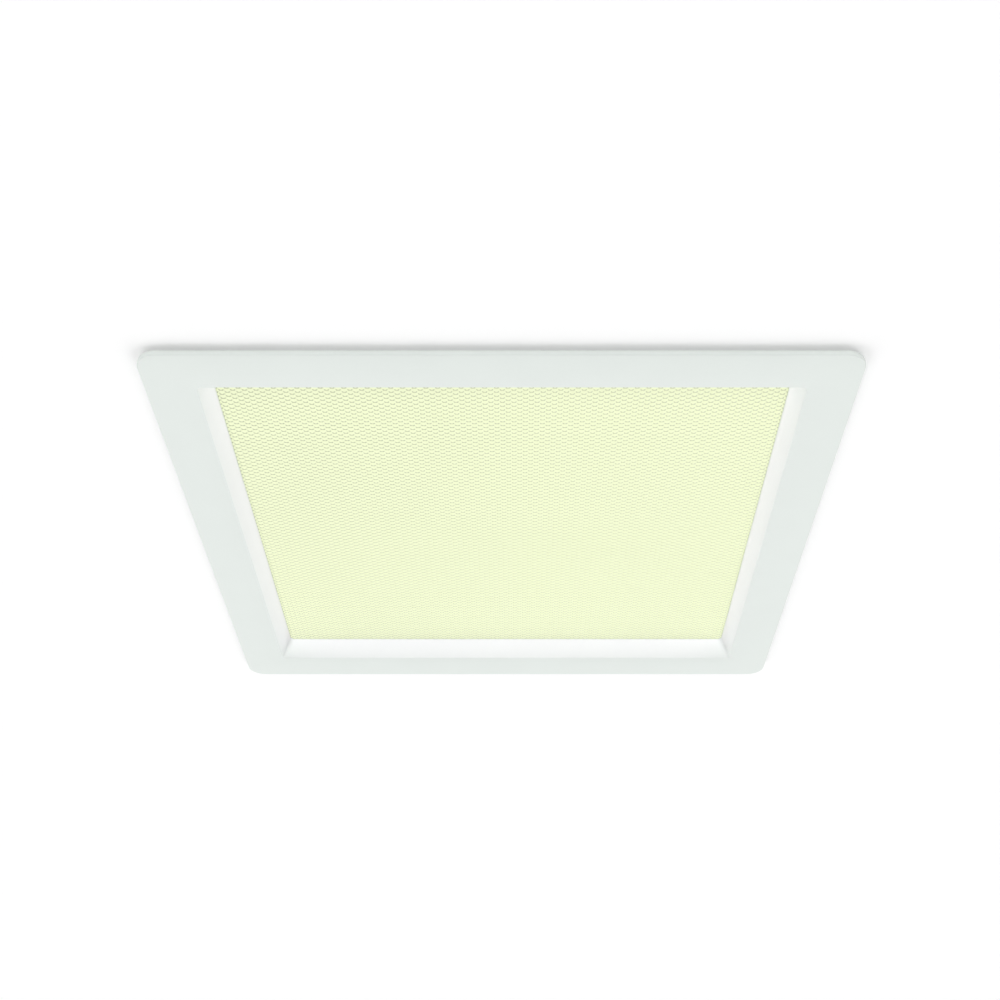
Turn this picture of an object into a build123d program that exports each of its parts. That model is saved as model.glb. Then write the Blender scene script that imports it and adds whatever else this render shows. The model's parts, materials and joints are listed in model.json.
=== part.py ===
from build123d import *
import math
import os

# A square recessed ceiling luminaire of the 300 mm class, in millimetres.
# Z points up into the ceiling void and z = 0 is the visible face of the ceiling.
# The origin is the centre of the cut-out, X runs along the driver's short side,
# and each sub-part is modelled at its place and written as a node of its own.

# ---------------------------------------------------------------- driving sizes
# Trim casting, seen from the room
flange_side = 312.0        # outside of the visible flange
flange_corner_r = 9.5
flange_t = 2.6
flange_edge = 0.8          # bevel of the lower outer edge
flange_w = 22.9            # visible width of the flat flange
reveal_depth = 11.1        # flange face up to the lens ledge
reveal_inset = 3.8         # how far the sloped reveal closes in on its way up
mouth_corner_r = 2.2
window_corner_r = 3.2
reveal_wall = 1.9          # casting wall beside the mouth
lip_t = 3.4                # wall that surrounds the lens
skirt_inset = 13.0         # flange edge to the part that passes through the ceiling
skirt_corner_r = 8.0
skirt_wall = 2.2
skirt_top = 16.0
boss_l = 9.0               # screw boss, along its side of the channel
rib_t = 1.6
rib_h = 9.0
rib_spacing = 54.0
ribs_per_side = 4

# Gasket between flange and ceiling
gasket_t = 1.0
gasket_w = 5.0
gasket_inset = 2.5         # from the flange's outer edge
gasket_corner_r = 7.0

# Lens stack
lens_t = 3.0
lens_seat_gap = 0.2        # round the edge of the lens and of what lies on it
relief_h = 0.7             # micro-lens relief below the plate
relief_gap = 0.4           # relief to window edge
film_t = 0.5

# Reflector tray and light engine
reflector_t = 1.0
reflector_rim = 2.9        # lens edge to the tray's mouth
reflector_lean = 16.5      # how far each wall leans in on its way up
reflector_h = 38.0         # inside, rim to top plate
led_edge = 19.0            # board edge to its outer LEDs
leds_per_side = 3
led_size = 5.0
led_h = 0.9
led_window = 8.0          # width of the tray's window over a row of LEDs
board_gap = 2.0
board_edge_gap = 1.0       # boards to the tray's top corner
board_t = 1.6
bridge_l = 10.0
bridge_w = 6.0
bridge_h = 2.4
bridge_window_gap = 1.0
pad_t = 0.6
pad_margin = 1.0

# Pressed housing
sheet_t = 1.2
housing_inset = 10.0       # skirt's outside to the housing wall
housing_corner_r = 7.0
housing_edge = 2.0         # bevel round the roof
housing_flange_gap = 0.5   # skirt's outside to the housing flange

# Heat sink
sink_edge = 11.0           # housing wall to the sink's side
sink_end = 15.0            # housing wall to the sink's ends
sink_gap = 12.0            # sink to the driver tray
sink_base_t = 3.0
fin_h = 23.6
fin_root_t = 2.0
fin_tip_t = 1.2
fin_pitch = 8.0
sink_screw_end = 18.0      # sink's end to its screws

# Driver enclosure
box_w = 78.0
box_edge = 9.0             # housing wall to the tray's side
box_end = 15.0             # housing wall to the tray's ends
box_wall = 1.0
box_wall_h = 27.6          # tray walls above their floor
side_flange_h = 12.0       # low tray sides under the cover
terminal_room = 70.0       # tray's end to the partition, outside
cover_t = 0.8
cover_gap = 0.1            # cover to tray sides
cover_seat_gap = 0.3       # cover and lid above the tray walls
cover_lift = 1.2           # lower edge of the cover above the roof
vent_count = 7
vent_w = 3.0
vent_l = 44.0
vent_pitch = 10.0

# Driver electronics
pcb_side_gap = 6.0         # tray's side to the board, outside
pcb_front_gap = 6.0        # partition's face to the board
pcb_back_gap = 8.0         # board to the tray's end, outside
pcb_t = 1.6
standoff_h = 6.0
standoff_side = 5.0
standoff_pin = 2.2
standoff_pin_gap = 0.15
standoff_inset = 5.0
transformer_shift = 8.0    # from the middle of the board
core_w = 34.0
core_l = 26.0
core_h = 18.0
bobbin_w = 24.0
bobbin_l = 36.0
bobbin_h = 12.0
capacitor_r = 8.0
capacitor_h = 18.0
capacitor_shift = 18.0     # from the middle of the board, across
capacitor_end = 24.0       # from each end of the board
choke_side = 17.0
choke_core = 12.0
choke_h = 13.0
choke_cheek = 2.4
choke_shift = 17.0         # from the middle of the board, across
choke_end = 24.0           # from the front end of the board
header_shift = 15.0        # from the middle of the board, across
header_inset = 7.0         # LED board's edge to the header
header_w = 12.0
header_l = 6.0
header_hole_gap = 0.5

# Terminal compartment
terminal_w = 33.0
terminal_l = 22.0
terminal_h = 14.0
terminal_inset = 37.0      # tray's end to the middle of the block
pole_pitch = 10.0
pole_count = 3
wire_hole = 3.8
wire_hole_z = 5.4
wire_hole_depth = 12.0
button_w = 6.0
button_l = 8.0
button_h = 5.4
button_proud = 2.0
button_travel = 1.5
button_gap = 0.3
button_edge = 0.6
button_shift = 3.0         # from the middle of the block
inlet_h = 10.1             # cable above the tray floor
inlet_r = 4.75
grommet_r = 9.4
grommet_lead = 2.4
grommet_neck_r = 7.2
grommet_out = 3.2
grommet_in = 2.0
grommet_fit = 0.1
clamp_inset = 15.0         # tray's end to the middle of the clamp
clamp_l = 10.0
clamp_w = 30.0
clamp_groove_r = 5.2
clamp_split = 4.0          # gap between saddle and bar
clamp_bar_h = 6.0
clamp_screw_x = 10.5
earth_inset_x = 10.0       # tray's side and end to the earth screw
earth_inset_y = 12.0

# Terminal lid
lid_t = 1.2
lid_gap = 0.4              # lid skirt to tray wall
lid_skirt_h = 7.0
lid_corner_r = 2.0
lid_axis_out = 2.5         # hinge axis in front of the partition
lid_axis_up = 1.9          # hinge axis above the plate's underside
lid_eye_r = 2.4
lid_pin_r = 1.25
lid_back_gap = 0.6         # lid plate to the eye's sweep
lug_t = 1.5
lug_root = 9.0
knuckle_w = 44.0
knuckle_gap = 0.6
lid_pin_end = 0.6          # pin beyond each lug

# Spring clips
board_min_t = 5.0          # thinnest ceiling board, where the arm meets its stop
clip_end = 48.0            # housing wall to the clips, along its side
pivot_out = 8.0            # pivot from the housing wall
pivot_z = 36.0
pin_r = 1.5
pin_fit = 0.05
pin_end = 0.6              # pin beyond each bracket ear
pin_hole_sides = 12        # of the bracket's holes, where the pin doesn't turn
eye_r = 4.5
eye_sides = 8              # the pressed eyes have clipped corners
bracket_t = 1.2
bracket_half_w = 11.0
bracket_up = 17.0
bracket_down = 11.5
bracket_ear_gap = 0.4      # arm ear to bracket ear
ear_root_half = 9.0
stop_tip = 4.2
stop_y0 = -5.0
stop_y1 = 2.6
stop_gap = 0.1
hook_w = 9.0
hook_depth = 2.6
hook_gap = 0.2
hook_z = -8.0
arm_t = 1.2
arm_half_w = 8.0
arm_web_w = -4.6           # underside of the web, from the pivot
arm_web_start = 6.0
arm_web_end = 45.0
arm_rise = 2.0
arm_rise_u = 12.0
arm_lip_u = 36.0
arm_lip_h = 1.2
foot_u = 43.0
foot_w = -2.0
foot_r = 4.0
foot_corner = 2.4
foot_half_w = 9.5
foot_fit = 0.05
foot_slot_back = 5.0
spring_wire_r = 0.6
spring_r = 2.75
spring_pitch = 1.5
spring_full_turns = 3
spring_sides = 6
spring_steps = 8           # straight runs that stand for one turn
spring_leg = 18.0
spring_root_y = 4.6
spring_root_drop = 9.8
spring_root_gap = 0.1
rivet_z = 12.6
rivet_r = 1.2
rivet_head_r = 2.4
rivet_head_t = 1.0
rivet_head_sides = 12
rivet_tail = 0.8

# Screws
screw_r = 1.45
screw_head_r = 3.0         # across the corners of the hexagon
screw_head_h = 1.9
screw_fit = 0.1
screw_tip_gap = 0.2
screw_sides = 6            # a thread is drawn as a plain six-sided shank
frame_screw_l = 10.0
frame_screw_end = 43.0     # skirt's outside to the screws, along its side
sink_screw_l = 4.0
cover_screw_l = 4.0
cover_screw_up = 5.6
clamp_screw_l = 14.0
tray_screw_l = 2.0
tray_screw_inset = 6.0

# ---------------------------------------------------------------- derived sizes
face_z = -(gasket_t + flange_t)
flange_top = -gasket_t
ledge_z = face_z + reveal_depth
mouth_side = flange_side - 2 * flange_w
window_side = mouth_side - 2 * reveal_inset
wall_half = mouth_side / 2 + reveal_wall
skirt_half = flange_side / 2 - skirt_inset
skirt_side = 2 * skirt_half
frame_screw_x = skirt_half - frame_screw_end
lens_side = 2 * (wall_half - lip_t - lens_seat_gap)
lens_top = ledge_z + lens_t
film_top = lens_top + film_t
channel_mid = (wall_half + skirt_half - skirt_wall) / 2
channel_w = skirt_half - skirt_wall - wall_half

reflector_mouth = lens_side - 2 * reflector_rim
reflector_top = reflector_mouth - 2 * reflector_lean
reflector_plate_z = film_top + reflector_h
board_z = reflector_plate_z + reflector_t
pad_z = board_z + board_t
roof_inner = pad_z + pad_t
roof_z = roof_inner + sheet_t
housing_half = skirt_half - housing_inset
housing_side = 2 * housing_half
housing_flange_side = skirt_side - 2 * housing_flange_gap
board_side = (reflector_top - board_gap) / 2 - board_edge_gap
board_offset = (board_side + board_gap) / 2
led_pitch = (board_side - 2 * led_edge) / (leds_per_side - 1)

box_x1 = housing_half - box_edge
box_x0 = box_x1 - box_w
box_mid_x = (box_x0 + box_x1) / 2
box_half_l = housing_half - box_end
sink_x0 = sink_edge - housing_half
sink_x1 = box_x0 - sink_gap
sink_l = housing_side - 2 * sink_end
sink_screw_y = sink_l / 2 - sink_screw_end
sink_top = roof_z + sink_base_t + fin_h
fin_count = int((sink_x1 - sink_x0 - fin_root_t) / fin_pitch) + 1
fin_x0 = (sink_x0 + sink_x1) / 2 - (fin_count - 1) * fin_pitch / 2
sink_screw_x0 = fin_x0 + 1.5 * fin_pitch
sink_screw_x1 = fin_x0 + (fin_count - 2.5) * fin_pitch

tray_floor = roof_z + box_wall
box_wall_top = tray_floor + box_wall_h
lid_z = box_wall_top + cover_seat_gap
partition_y = terminal_room - box_half_l
cover_y0 = partition_y + box_wall + cover_gap
cover_mid_y = (cover_y0 + box_half_l) / 2
pcb_w = box_w - 2 * pcb_side_gap
pcb_y0 = partition_y + pcb_front_gap
pcb_y1 = box_half_l - pcb_back_gap
pcb_z = tray_floor + standoff_h
pcb_top = pcb_z + pcb_t
header_x = box_mid_x - header_shift
header_y = board_gap / 2 + header_inset
terminal_top = tray_floor + terminal_h
terminal_y = terminal_inset - box_half_l
button_y = terminal_y + button_shift
inlet_x = box_mid_x
inlet_z = tray_floor + inlet_h
clamp_y = clamp_inset - box_half_l
lid_axis_y = partition_y - lid_axis_out
lid_axis_z = lid_z + lid_axis_up

clip_y = housing_half - clip_end
pivot_x = housing_half + pivot_out
arm_web_top = arm_web_w + arm_t
ear_inner = arm_half_w + bracket_ear_gap
ear_outer = ear_inner + bracket_t
foot_reach = math.hypot(foot_u, foot_w)
foot_phase = math.atan2(foot_w, foot_u)
arm_rest = math.degrees(math.asin((board_min_t + foot_r - pivot_z) / foot_reach) - foot_phase)


# ---------------------------------------------------------------- small helpers
def save(name, shape):
    """Write one node and say how many solids it holds."""
    export_step(shape, os.path.join("parts", name + ".step"))
    print(name, len(shape.solids()), round(shape.volume))


def rounded_block(side_x, side_y, radius, z0, z1):
    """Upright block with rounded vertical edges, centred on the origin."""
    return extrude(Pos(0, 0, z0) * RectangleRounded(side_x, side_y, radius), amount=z1 - z0)


def rounded_ring(outer, outer_r, inner, inner_r, z0, z1):
    """Square ring of constant height."""
    outline = RectangleRounded(outer, outer, outer_r) - RectangleRounded(inner, inner, inner_r)
    return extrude(Pos(0, 0, z0) * outline, amount=z1 - z0)


def tapered_block(low, z0, high, z1):
    """Straight-walled loft from one flat outline up to another."""
    return loft([Pos(0, 0, z0) * low, Pos(0, 0, z1) * high], ruled=True)


def block(x0, x1, y0, y1, z0, z1):
    """Plain block between two corners."""
    return Pos((x0 + x1) / 2, (y0 + y1) / 2, (z0 + z1) / 2) * Box(x1 - x0, y1 - y0, z1 - z0)


def side_plate(outline, y0, y1):
    """Outline drawn in X and Z, as thick as from y0 to y1."""
    return extrude(Plane.XZ.offset(-y1) * outline, amount=y1 - y0)


def end_plate(outline, x0, x1):
    """Outline drawn in Y and Z, as thick as from x0 to x1."""
    return extrude(Plane.YZ.offset(x0) * outline, amount=x1 - x0)


def screw(length):
    """Hexagon screw, its head on top of z = 0 and its shank below."""
    head = extrude(RegularPolygon(screw_head_r, 6, rotation=30), amount=screw_head_h)
    return head + extrude(RegularPolygon(screw_r, screw_sides, rotation=30), amount=-length)


def screw_bore(length):
    """What a screw's shank needs in the pieces below its head."""
    outline = RegularPolygon(screw_r + screw_fit, screw_sides, rotation=30)
    return extrude(outline, amount=-length - screw_tip_gap)


def screws(places, length):
    return group([place * screw(length) for place in places])


def group(solids):
    """Separate solids that share one node."""
    return Compound(children=[part.solid() for part in solids])


def clipped_eye(radius):
    return RegularPolygon(radius, eye_sides, major_radius=False, rotation=180 / eye_sides)


def hull_to_eye(eye_x, eye_z, radius, root):
    """Flat lug outline from a straight root to an eye with clipped corners."""
    eye = Pos(eye_x, eye_z) * clipped_eye(radius)
    return make_hull(eye.edges() + [root])


# ---------------------------------------------------------------- trim and lens
def frame_screw_places():
    """On the housing flange over the channel: two on each Y side, one on each X side."""
    spots = [(sx * frame_screw_x, sy * channel_mid) for sx in (-1, 1) for sy in (-1, 1)]
    spots += [(sx * channel_mid, 0) for sx in (-1, 1)]
    return [Pos(x, y, skirt_top + sheet_t) for x, y in spots]


def channel_block(x, y, length, z1):
    """Block across the channel at x, y, as long as given beside its wall."""
    along_x = abs(y) > abs(x)
    size_x = length if along_x else channel_w
    size_y = channel_w if along_x else length
    return Pos(x, y, (flange_top + z1) / 2) * Box(size_x, size_y, z1 - flange_top)


def trim_frame():
    flange = rounded_block(flange_side, flange_side, flange_corner_r, face_z, flange_top)
    flange = chamfer(flange.edges().group_by(Axis.Z)[0], flange_edge)
    inner_wall = rounded_block(2 * wall_half, 2 * wall_half, window_corner_r + lip_t, flange_top, film_top)
    skirt = rounded_ring(
        skirt_side, skirt_corner_r,
        skirt_side - 2 * skirt_wall, skirt_corner_r - skirt_wall, flange_top, skirt_top,
    )
    body = flange + inner_wall + skirt
    rib_places = [(i - (ribs_per_side - 1) / 2) * rib_spacing for i in range(ribs_per_side)]
    for along in rib_places:
        for side in (-channel_mid, channel_mid):
            body += channel_block(along, side, rib_t, rib_h)
            body += channel_block(side, along, rib_t, rib_h)
    for place in frame_screw_places():
        body += channel_block(place.position.X, place.position.Y, boss_l, skirt_top)
    mouth = RectangleRounded(mouth_side, mouth_side, mouth_corner_r)
    window = RectangleRounded(window_side, window_side, window_corner_r)
    body -= tapered_block(mouth, face_z, window, ledge_z)
    lens_seat = lens_side + 2 * lens_seat_gap
    body -= rounded_block(lens_seat, lens_seat, window_corner_r, ledge_z, film_top)
    for place in frame_screw_places():
        body -= place * screw_bore(frame_screw_l)
    return body


def ceiling_gasket():
    outer = flange_side - 2 * gasket_inset
    inner = outer - 2 * gasket_w
    outline = RectangleRounded(outer, outer, gasket_corner_r) - Rectangle(inner, inner)
    return extrude(Pos(0, 0, flange_top) * outline, amount=gasket_t)


def lens_plate():
    plate = rounded_block(lens_side, lens_side, window_corner_r, ledge_z, lens_top)
    relief_side = window_side - 2 * relief_gap
    relief_r = window_corner_r - relief_gap
    return plate + rounded_block(relief_side, relief_side, relief_r, ledge_z - relief_h, ledge_z)


def diffuser_film():
    return rounded_block(lens_side, lens_side, window_corner_r, lens_top, film_top)


# ---------------------------------------------------------------- light engine
def board_centres():
    return [(sx * board_offset, sy * board_offset) for sx in (-1, 1) for sy in (-1, 1)]


def led_steps():
    return [(i - (leds_per_side - 1) / 2) * led_pitch for i in range(leds_per_side)]


def led_places():
    return [(x + dx, y + dy) for x, y in board_centres() for dx in led_steps() for dy in led_steps()]


def led_rows():
    """Slots of the reflector, one for each row of LEDs across two boards, with their half sizes."""
    half_l = board_offset + ((leds_per_side - 1) * led_pitch + led_window) / 2
    rows = [side * board_offset + dy for side in (-1, 1) for dy in led_steps()]
    return [(0, y, half_l, led_window / 2) for y in rows]


def bridge_places():
    """Three links across the gaps between boards, with their half sizes in X and Y."""
    half_l = bridge_l / 2
    half_w = bridge_w / 2
    return [
        (0, board_offset, half_l, half_w),
        (0, -board_offset, half_l, half_w),
        (board_offset, 0, half_w, half_l),
    ]


def reflector_tray():
    """Folded tray with mitred corners: rim on the film, sloped walls, slotted top plate."""
    half = lens_side / 2
    mouth = reflector_mouth + 2 * reflector_t
    top = reflector_top + 2 * reflector_t
    tray = block(-half, half, -half, half, film_top, film_top + reflector_t)
    tray += tapered_block(Rectangle(mouth, mouth), film_top, Rectangle(top, top), reflector_plate_z)
    tray += block(-top / 2, top / 2, -top / 2, top / 2, reflector_plate_z, board_z)
    tray -= tapered_block(
        Rectangle(reflector_mouth, reflector_mouth), film_top,
        Rectangle(reflector_top, reflector_top), reflector_plate_z,
    )
    windows = led_rows() + [
        (x, y, a + bridge_window_gap, b + bridge_window_gap) for x, y, a, b in bridge_places()
    ]
    outline = Sketch() + [Pos(x, y) * Rectangle(2 * a, 2 * b) for x, y, a, b in windows]
    return tray - extrude(Pos(0, 0, reflector_plate_z) * outline, amount=reflector_t)


def led_board(x, y):
    return Pos(x, y, board_z + board_t / 2) * Box(board_side, board_side, board_t)


def led_packages():
    return group([Pos(x, y, board_z - led_h / 2) * Box(led_size, led_size, led_h) for x, y in led_places()])


def board_bridges():
    return group([
        block(x - a, x + a, y - b, y + b, board_z - bridge_h, board_z)
        for x, y, a, b in bridge_places()
    ])


def header_hole(z0, z1):
    half_w = header_w / 2 + header_hole_gap
    half_l = header_l / 2 + header_hole_gap
    return block(header_x - half_w, header_x + half_w, header_y - half_l, header_y + half_l, z0, z1)


def thermal_pad():
    half = board_offset + board_side / 2 - pad_margin
    return block(-half, half, -half, half, pad_z, roof_inner) - header_hole(pad_z, roof_inner)


# ---------------------------------------------------------------- housing and heat sink
def sink_screw_places():
    """On the sink's base, between the second and third fin from each side."""
    z = roof_z + sink_base_t
    return [Pos(x, sy * sink_screw_y, z) for x in (sink_screw_x0, sink_screw_x1) for sy in (-1, 1)]


def tray_screw_places():
    """Two opposite corners of the tray floor."""
    near = box_half_l - tray_screw_inset
    return [
        Pos(box_x0 + tray_screw_inset, near, tray_floor),
        Pos(box_x1 - tray_screw_inset, -near, tray_floor),
    ]


def back_housing():
    shell = rounded_block(housing_side, housing_side, housing_corner_r, skirt_top, roof_z)
    shell = chamfer(shell.edges().group_by(Axis.Z)[-1], housing_edge)
    shell += rounded_block(
        housing_flange_side, housing_flange_side, skirt_corner_r, skirt_top, skirt_top + sheet_t
    )
    inside = housing_side - 2 * sheet_t
    shell -= rounded_block(inside, inside, housing_corner_r - sheet_t, skirt_top, roof_inner)
    for place in frame_screw_places():
        shell -= place * screw_bore(frame_screw_l)
    for place in sink_screw_places():
        shell -= place * screw_bore(sink_screw_l)
    for place in tray_screw_places():
        shell -= place * screw_bore(tray_screw_l)
    shell -= header_hole(roof_inner, roof_z)
    for place in clip_places():
        shell -= place * (rivet_hole() + hook_slot())
    return shell


def heat_sink():
    """Extruded profile: a base with tapered fins, drawn across X and run along Y."""
    base_top = roof_z + sink_base_t
    mid = (sink_x0 + sink_x1) / 2
    profile = Pos(mid, (roof_z + base_top) / 2) * Rectangle(sink_x1 - sink_x0, sink_base_t)
    for i in range(fin_count):
        x = fin_x0 + i * fin_pitch
        root = fin_root_t / 2
        tip = fin_tip_t / 2
        fin = [(x - root, base_top), (x + root, base_top), (x + tip, sink_top), (x - tip, sink_top)]
        profile += make_face(Polyline(*fin, close=True))
    sink = side_plate(profile, -sink_l / 2, sink_l / 2)
    for place in sink_screw_places():
        sink -= place * screw_bore(sink_screw_l)
    return sink


# ---------------------------------------------------------------- driver enclosure
def lug_places():
    """X ranges of the tray's two hinge lugs, one each side of the lid's knuckle."""
    near = knuckle_w / 2 + knuckle_gap
    far = near + lug_t
    return [(box_mid_x - far, box_mid_x - near), (box_mid_x + near, box_mid_x + far)]


def cover_screw_places():
    """On the cover's two long sides, pointing out."""
    out = cover_gap + cover_t
    z = tray_floor + cover_screw_up
    return [
        Location((box_x0 - out, cover_mid_y, z), (0, -90, 0)),
        Location((box_x1 + out, cover_mid_y, z), (0, 90, 0)),
    ]


def driver_tray():
    """Folded sheet tray: high walls round the terminals, low sides below the cover."""
    tray = block(box_x0, box_x1, -box_half_l, box_half_l, roof_z, box_wall_top)
    tray -= block(
        box_x0 + box_wall, box_x1 - box_wall, -box_half_l + box_wall, box_half_l - box_wall,
        tray_floor, box_wall_top,
    )
    side_top = tray_floor + side_flange_h
    tray -= block(box_x0, box_x1, partition_y + box_wall, box_half_l - box_wall, side_top, box_wall_top)
    tray += block(box_x0, box_x1, partition_y, partition_y + box_wall, roof_z, box_wall_top)
    for x0, x1 in lug_places():
        root = Line((partition_y, lid_axis_z - lug_root), (partition_y, box_wall_top))
        tray += end_plate(hull_to_eye(lid_axis_y, lid_axis_z, lid_eye_r, root.edge()), x0, x1)
        tray -= end_plate(Pos(lid_axis_y, lid_axis_z) * Circle(lid_pin_r + pin_fit), x0, x1)
    wall_y = -box_half_l
    neck = Pos(inlet_x, inlet_z) * Circle(grommet_neck_r + grommet_fit)
    tray -= side_plate(neck, wall_y, wall_y + box_wall)
    for place in tray_screw_places() + [earth_place()]:
        tray -= place * screw_bore(tray_screw_l)
    for place in cover_screw_places():
        tray -= place * screw_bore(cover_screw_l)
    return tray - header_hole(roof_z, tray_floor)


def driver_cover():
    """Deep lid of the driver: top, two long sides and the far end, open below and in front."""
    wall = cover_gap + cover_t
    top = lid_z + cover_t
    low = roof_z + cover_lift
    cover = block(box_x0 - wall, box_x1 + wall, cover_y0, box_half_l + wall, low, top)
    cover -= block(
        box_x0 - cover_gap, box_x1 + cover_gap, cover_y0, box_half_l + cover_gap, low, lid_z
    )
    for i in range(vent_count):
        x = box_mid_x + (i - (vent_count - 1) / 2) * vent_pitch
        slot = Pos(x, cover_mid_y, (lid_z + top) / 2) * Box(vent_w, vent_l, cover_t)
        cover -= slot
    for place in cover_screw_places():
        cover -= place * screw_bore(cover_screw_l)
    return cover


def standoff_places():
    x = pcb_w / 2 - standoff_inset
    return [
        (box_mid_x + sx * x, y)
        for sx in (-1, 1) for y in (pcb_y0 + standoff_inset, pcb_y1 - standoff_inset)
    ]


def driver_pcb():
    half = pcb_w / 2
    board = block(box_mid_x - half, box_mid_x + half, pcb_y0, pcb_y1, pcb_z, pcb_top)
    hole = standoff_pin + 2 * standoff_pin_gap
    for x, y in standoff_places():
        board -= Pos(x, y, pcb_z + pcb_t / 2) * Box(hole, hole, pcb_t)
    return board


def pcb_standoffs():
    pillars = []
    for x, y in standoff_places():
        pillar = Pos(x, y, tray_floor + standoff_h / 2) * Box(standoff_side, standoff_side, standoff_h)
        tip_h = 2 * pcb_t
        pillars.append(pillar + Pos(x, y, pcb_z + tip_h / 2) * Box(standoff_pin, standoff_pin, tip_h))
    return group(pillars)


def transformer():
    core = Pos(0, 0, core_h / 2) * Box(core_w, core_l, core_h)
    bobbin = Pos(0, 0, bobbin_h / 2) * Box(bobbin_w, bobbin_l, bobbin_h)
    mid_y = (pcb_y0 + pcb_y1) / 2 + transformer_shift
    return Pos(box_mid_x, mid_y, pcb_top) * (core + bobbin)


def capacitors():
    z = pcb_top + capacitor_h / 2
    return group([
        Pos(box_mid_x - capacitor_shift, y, z) * Cylinder(capacitor_r, capacitor_h)
        for y in (pcb_y0 + capacitor_end, pcb_y1 - capacitor_end)
    ])


def choke():
    """Winding between the two cheeks of its bobbin."""
    low = Pos(0, 0, choke_cheek / 2) * Box(choke_side, choke_side, choke_cheek)
    high = Pos(0, 0, choke_h - choke_cheek / 2) * Box(choke_side, choke_side, choke_cheek)
    winding = Pos(0, 0, choke_h / 2) * Box(choke_core, choke_core, choke_h)
    return Pos(box_mid_x + choke_shift, pcb_y0 + choke_end, pcb_top) * (low + high + winding)


def output_header():
    half_w = header_w / 2
    half_l = header_l / 2
    return block(header_x - half_w, header_x + half_w, header_y - half_l, header_y + half_l, pad_z, pcb_z)


# ---------------------------------------------------------------- terminal compartment
def earth_place():
    return Pos(box_x0 + earth_inset_x, earth_inset_y - box_half_l, tray_floor)


def pole_x(i):
    return inlet_x + (i - (pole_count - 1) / 2) * pole_pitch


def terminal_block():
    half_l = terminal_l / 2
    body = block(
        inlet_x - terminal_w / 2, inlet_x + terminal_w / 2,
        terminal_y - half_l, terminal_y + half_l, tray_floor, terminal_top,
    )
    front = terminal_y - half_l
    floor = terminal_top + button_proud - button_h - button_travel - button_gap
    for i in range(pole_count):
        hole = Pos(pole_x(i), tray_floor + wire_hole_z) * Rectangle(wire_hole, wire_hole)
        body -= side_plate(hole, front, front + wire_hole_depth)
        half_w = button_w / 2 + button_gap
        half_b = button_l / 2 + button_gap
        body -= block(
            pole_x(i) - half_w, pole_x(i) + half_w,
            button_y - half_b, button_y + half_b, floor, terminal_top,
        )
    return body


def release_button(i):
    top = terminal_top + button_proud
    key = Pos(pole_x(i), button_y, top - button_h / 2) * Box(button_w, button_l, button_h)
    return chamfer(key.edges().group_by(Axis.Z)[-1], button_edge)


def cable_grommet():
    """Turned rubber grommet; its groove takes the wall."""
    outer = -(box_half_l + grommet_out)
    wall_out = -box_half_l
    wall_in = wall_out + box_wall
    inner = wall_in + grommet_in
    outline = Polyline(
        (inlet_r, outer), (grommet_r - grommet_lead, outer), (grommet_r, wall_out),
        (grommet_neck_r, wall_out), (grommet_neck_r, wall_in), (grommet_r, wall_in),
        (grommet_r - grommet_lead, inner), (inlet_r, inner),
        close=True,
    )
    turned = revolve(make_face(outline), Axis.Y)
    return Pos(inlet_x, 0, inlet_z) * turned


def clamp_bar_top():
    return inlet_z + clamp_split / 2 + clamp_bar_h


def clamp_screw_places():
    return [Pos(inlet_x + side * clamp_screw_x, clamp_y, clamp_bar_top()) for side in (-1, 1)]


def clamp_half(z0, z1):
    """Saddle or bar: a block with the cable groove and two screw holes."""
    half_l = clamp_l / 2
    body = block(
        inlet_x - clamp_w / 2, inlet_x + clamp_w / 2, clamp_y - half_l, clamp_y + half_l, z0, z1
    )
    groove = RegularPolygon(clamp_groove_r, 8, major_radius=False, rotation=22.5)
    body -= side_plate(Pos(inlet_x, inlet_z) * groove, clamp_y - half_l, clamp_y + half_l)
    for place in clamp_screw_places():
        body -= place * screw_bore(clamp_screw_l)
    return body


def cable_saddle():
    return clamp_half(tray_floor, inlet_z - clamp_split / 2)


def cable_clamp():
    return clamp_half(inlet_z + clamp_split / 2, clamp_bar_top())


def terminal_lid():
    """Moulded lid: plate, skirt on three sides and a long knuckle between the lugs."""
    wall = lid_gap + lid_t
    back = lid_axis_y - lid_eye_r - lid_back_gap
    top = lid_z + lid_t
    low = top - lid_skirt_h
    front = -box_half_l - wall
    lid = block(box_x0 - wall, box_x1 + wall, front, back, low, top)
    corners = lid.edges().filter_by(Axis.Z).group_by(Axis.Y)[0]
    lid = fillet(corners, lid_corner_r)
    lid -= block(box_x0 - lid_gap, box_x1 + lid_gap, -box_half_l - lid_gap, back, low, lid_z)
    x0 = box_mid_x - knuckle_w / 2
    x1 = box_mid_x + knuckle_w / 2
    root = Line((back, lid_z), (back, top))
    lid += end_plate(hull_to_eye(lid_axis_y, lid_axis_z, lid_eye_r, root.edge()), x0, x1)
    return lid - end_plate(Pos(lid_axis_y, lid_axis_z) * Circle(lid_pin_r + pin_fit), x0, x1)


def lid_pin():
    half = knuckle_w / 2 + knuckle_gap + lug_t + lid_pin_end
    return end_plate(Pos(lid_axis_y, lid_axis_z) * Circle(lid_pin_r), box_mid_x - half, box_mid_x + half)


# ---------------------------------------------------------------- spring clips
# Each clip is drawn in its own frame: the origin on the pivot, X away from the
# housing wall, Y along the pivot pin and Z up. Clips on the -X side are turned round.
def clip_places():
    return [
        Location((sx * pivot_x, sy * clip_y, pivot_z), (0, 0, 90 - 90 * sx))
        for sx in (1, -1) for sy in (1, -1)
    ]


def arm_place():
    """Turns the arm from its drawn, level place to where it rests on its stop."""
    return Rot(0, -arm_rest, 0)


def rivet_hole():
    outline = Pos(0, rivet_z) * RegularPolygon(rivet_r + screw_fit, screw_sides)
    return end_plate(outline, -pivot_out - sheet_t, -pivot_out + bracket_t)


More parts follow.
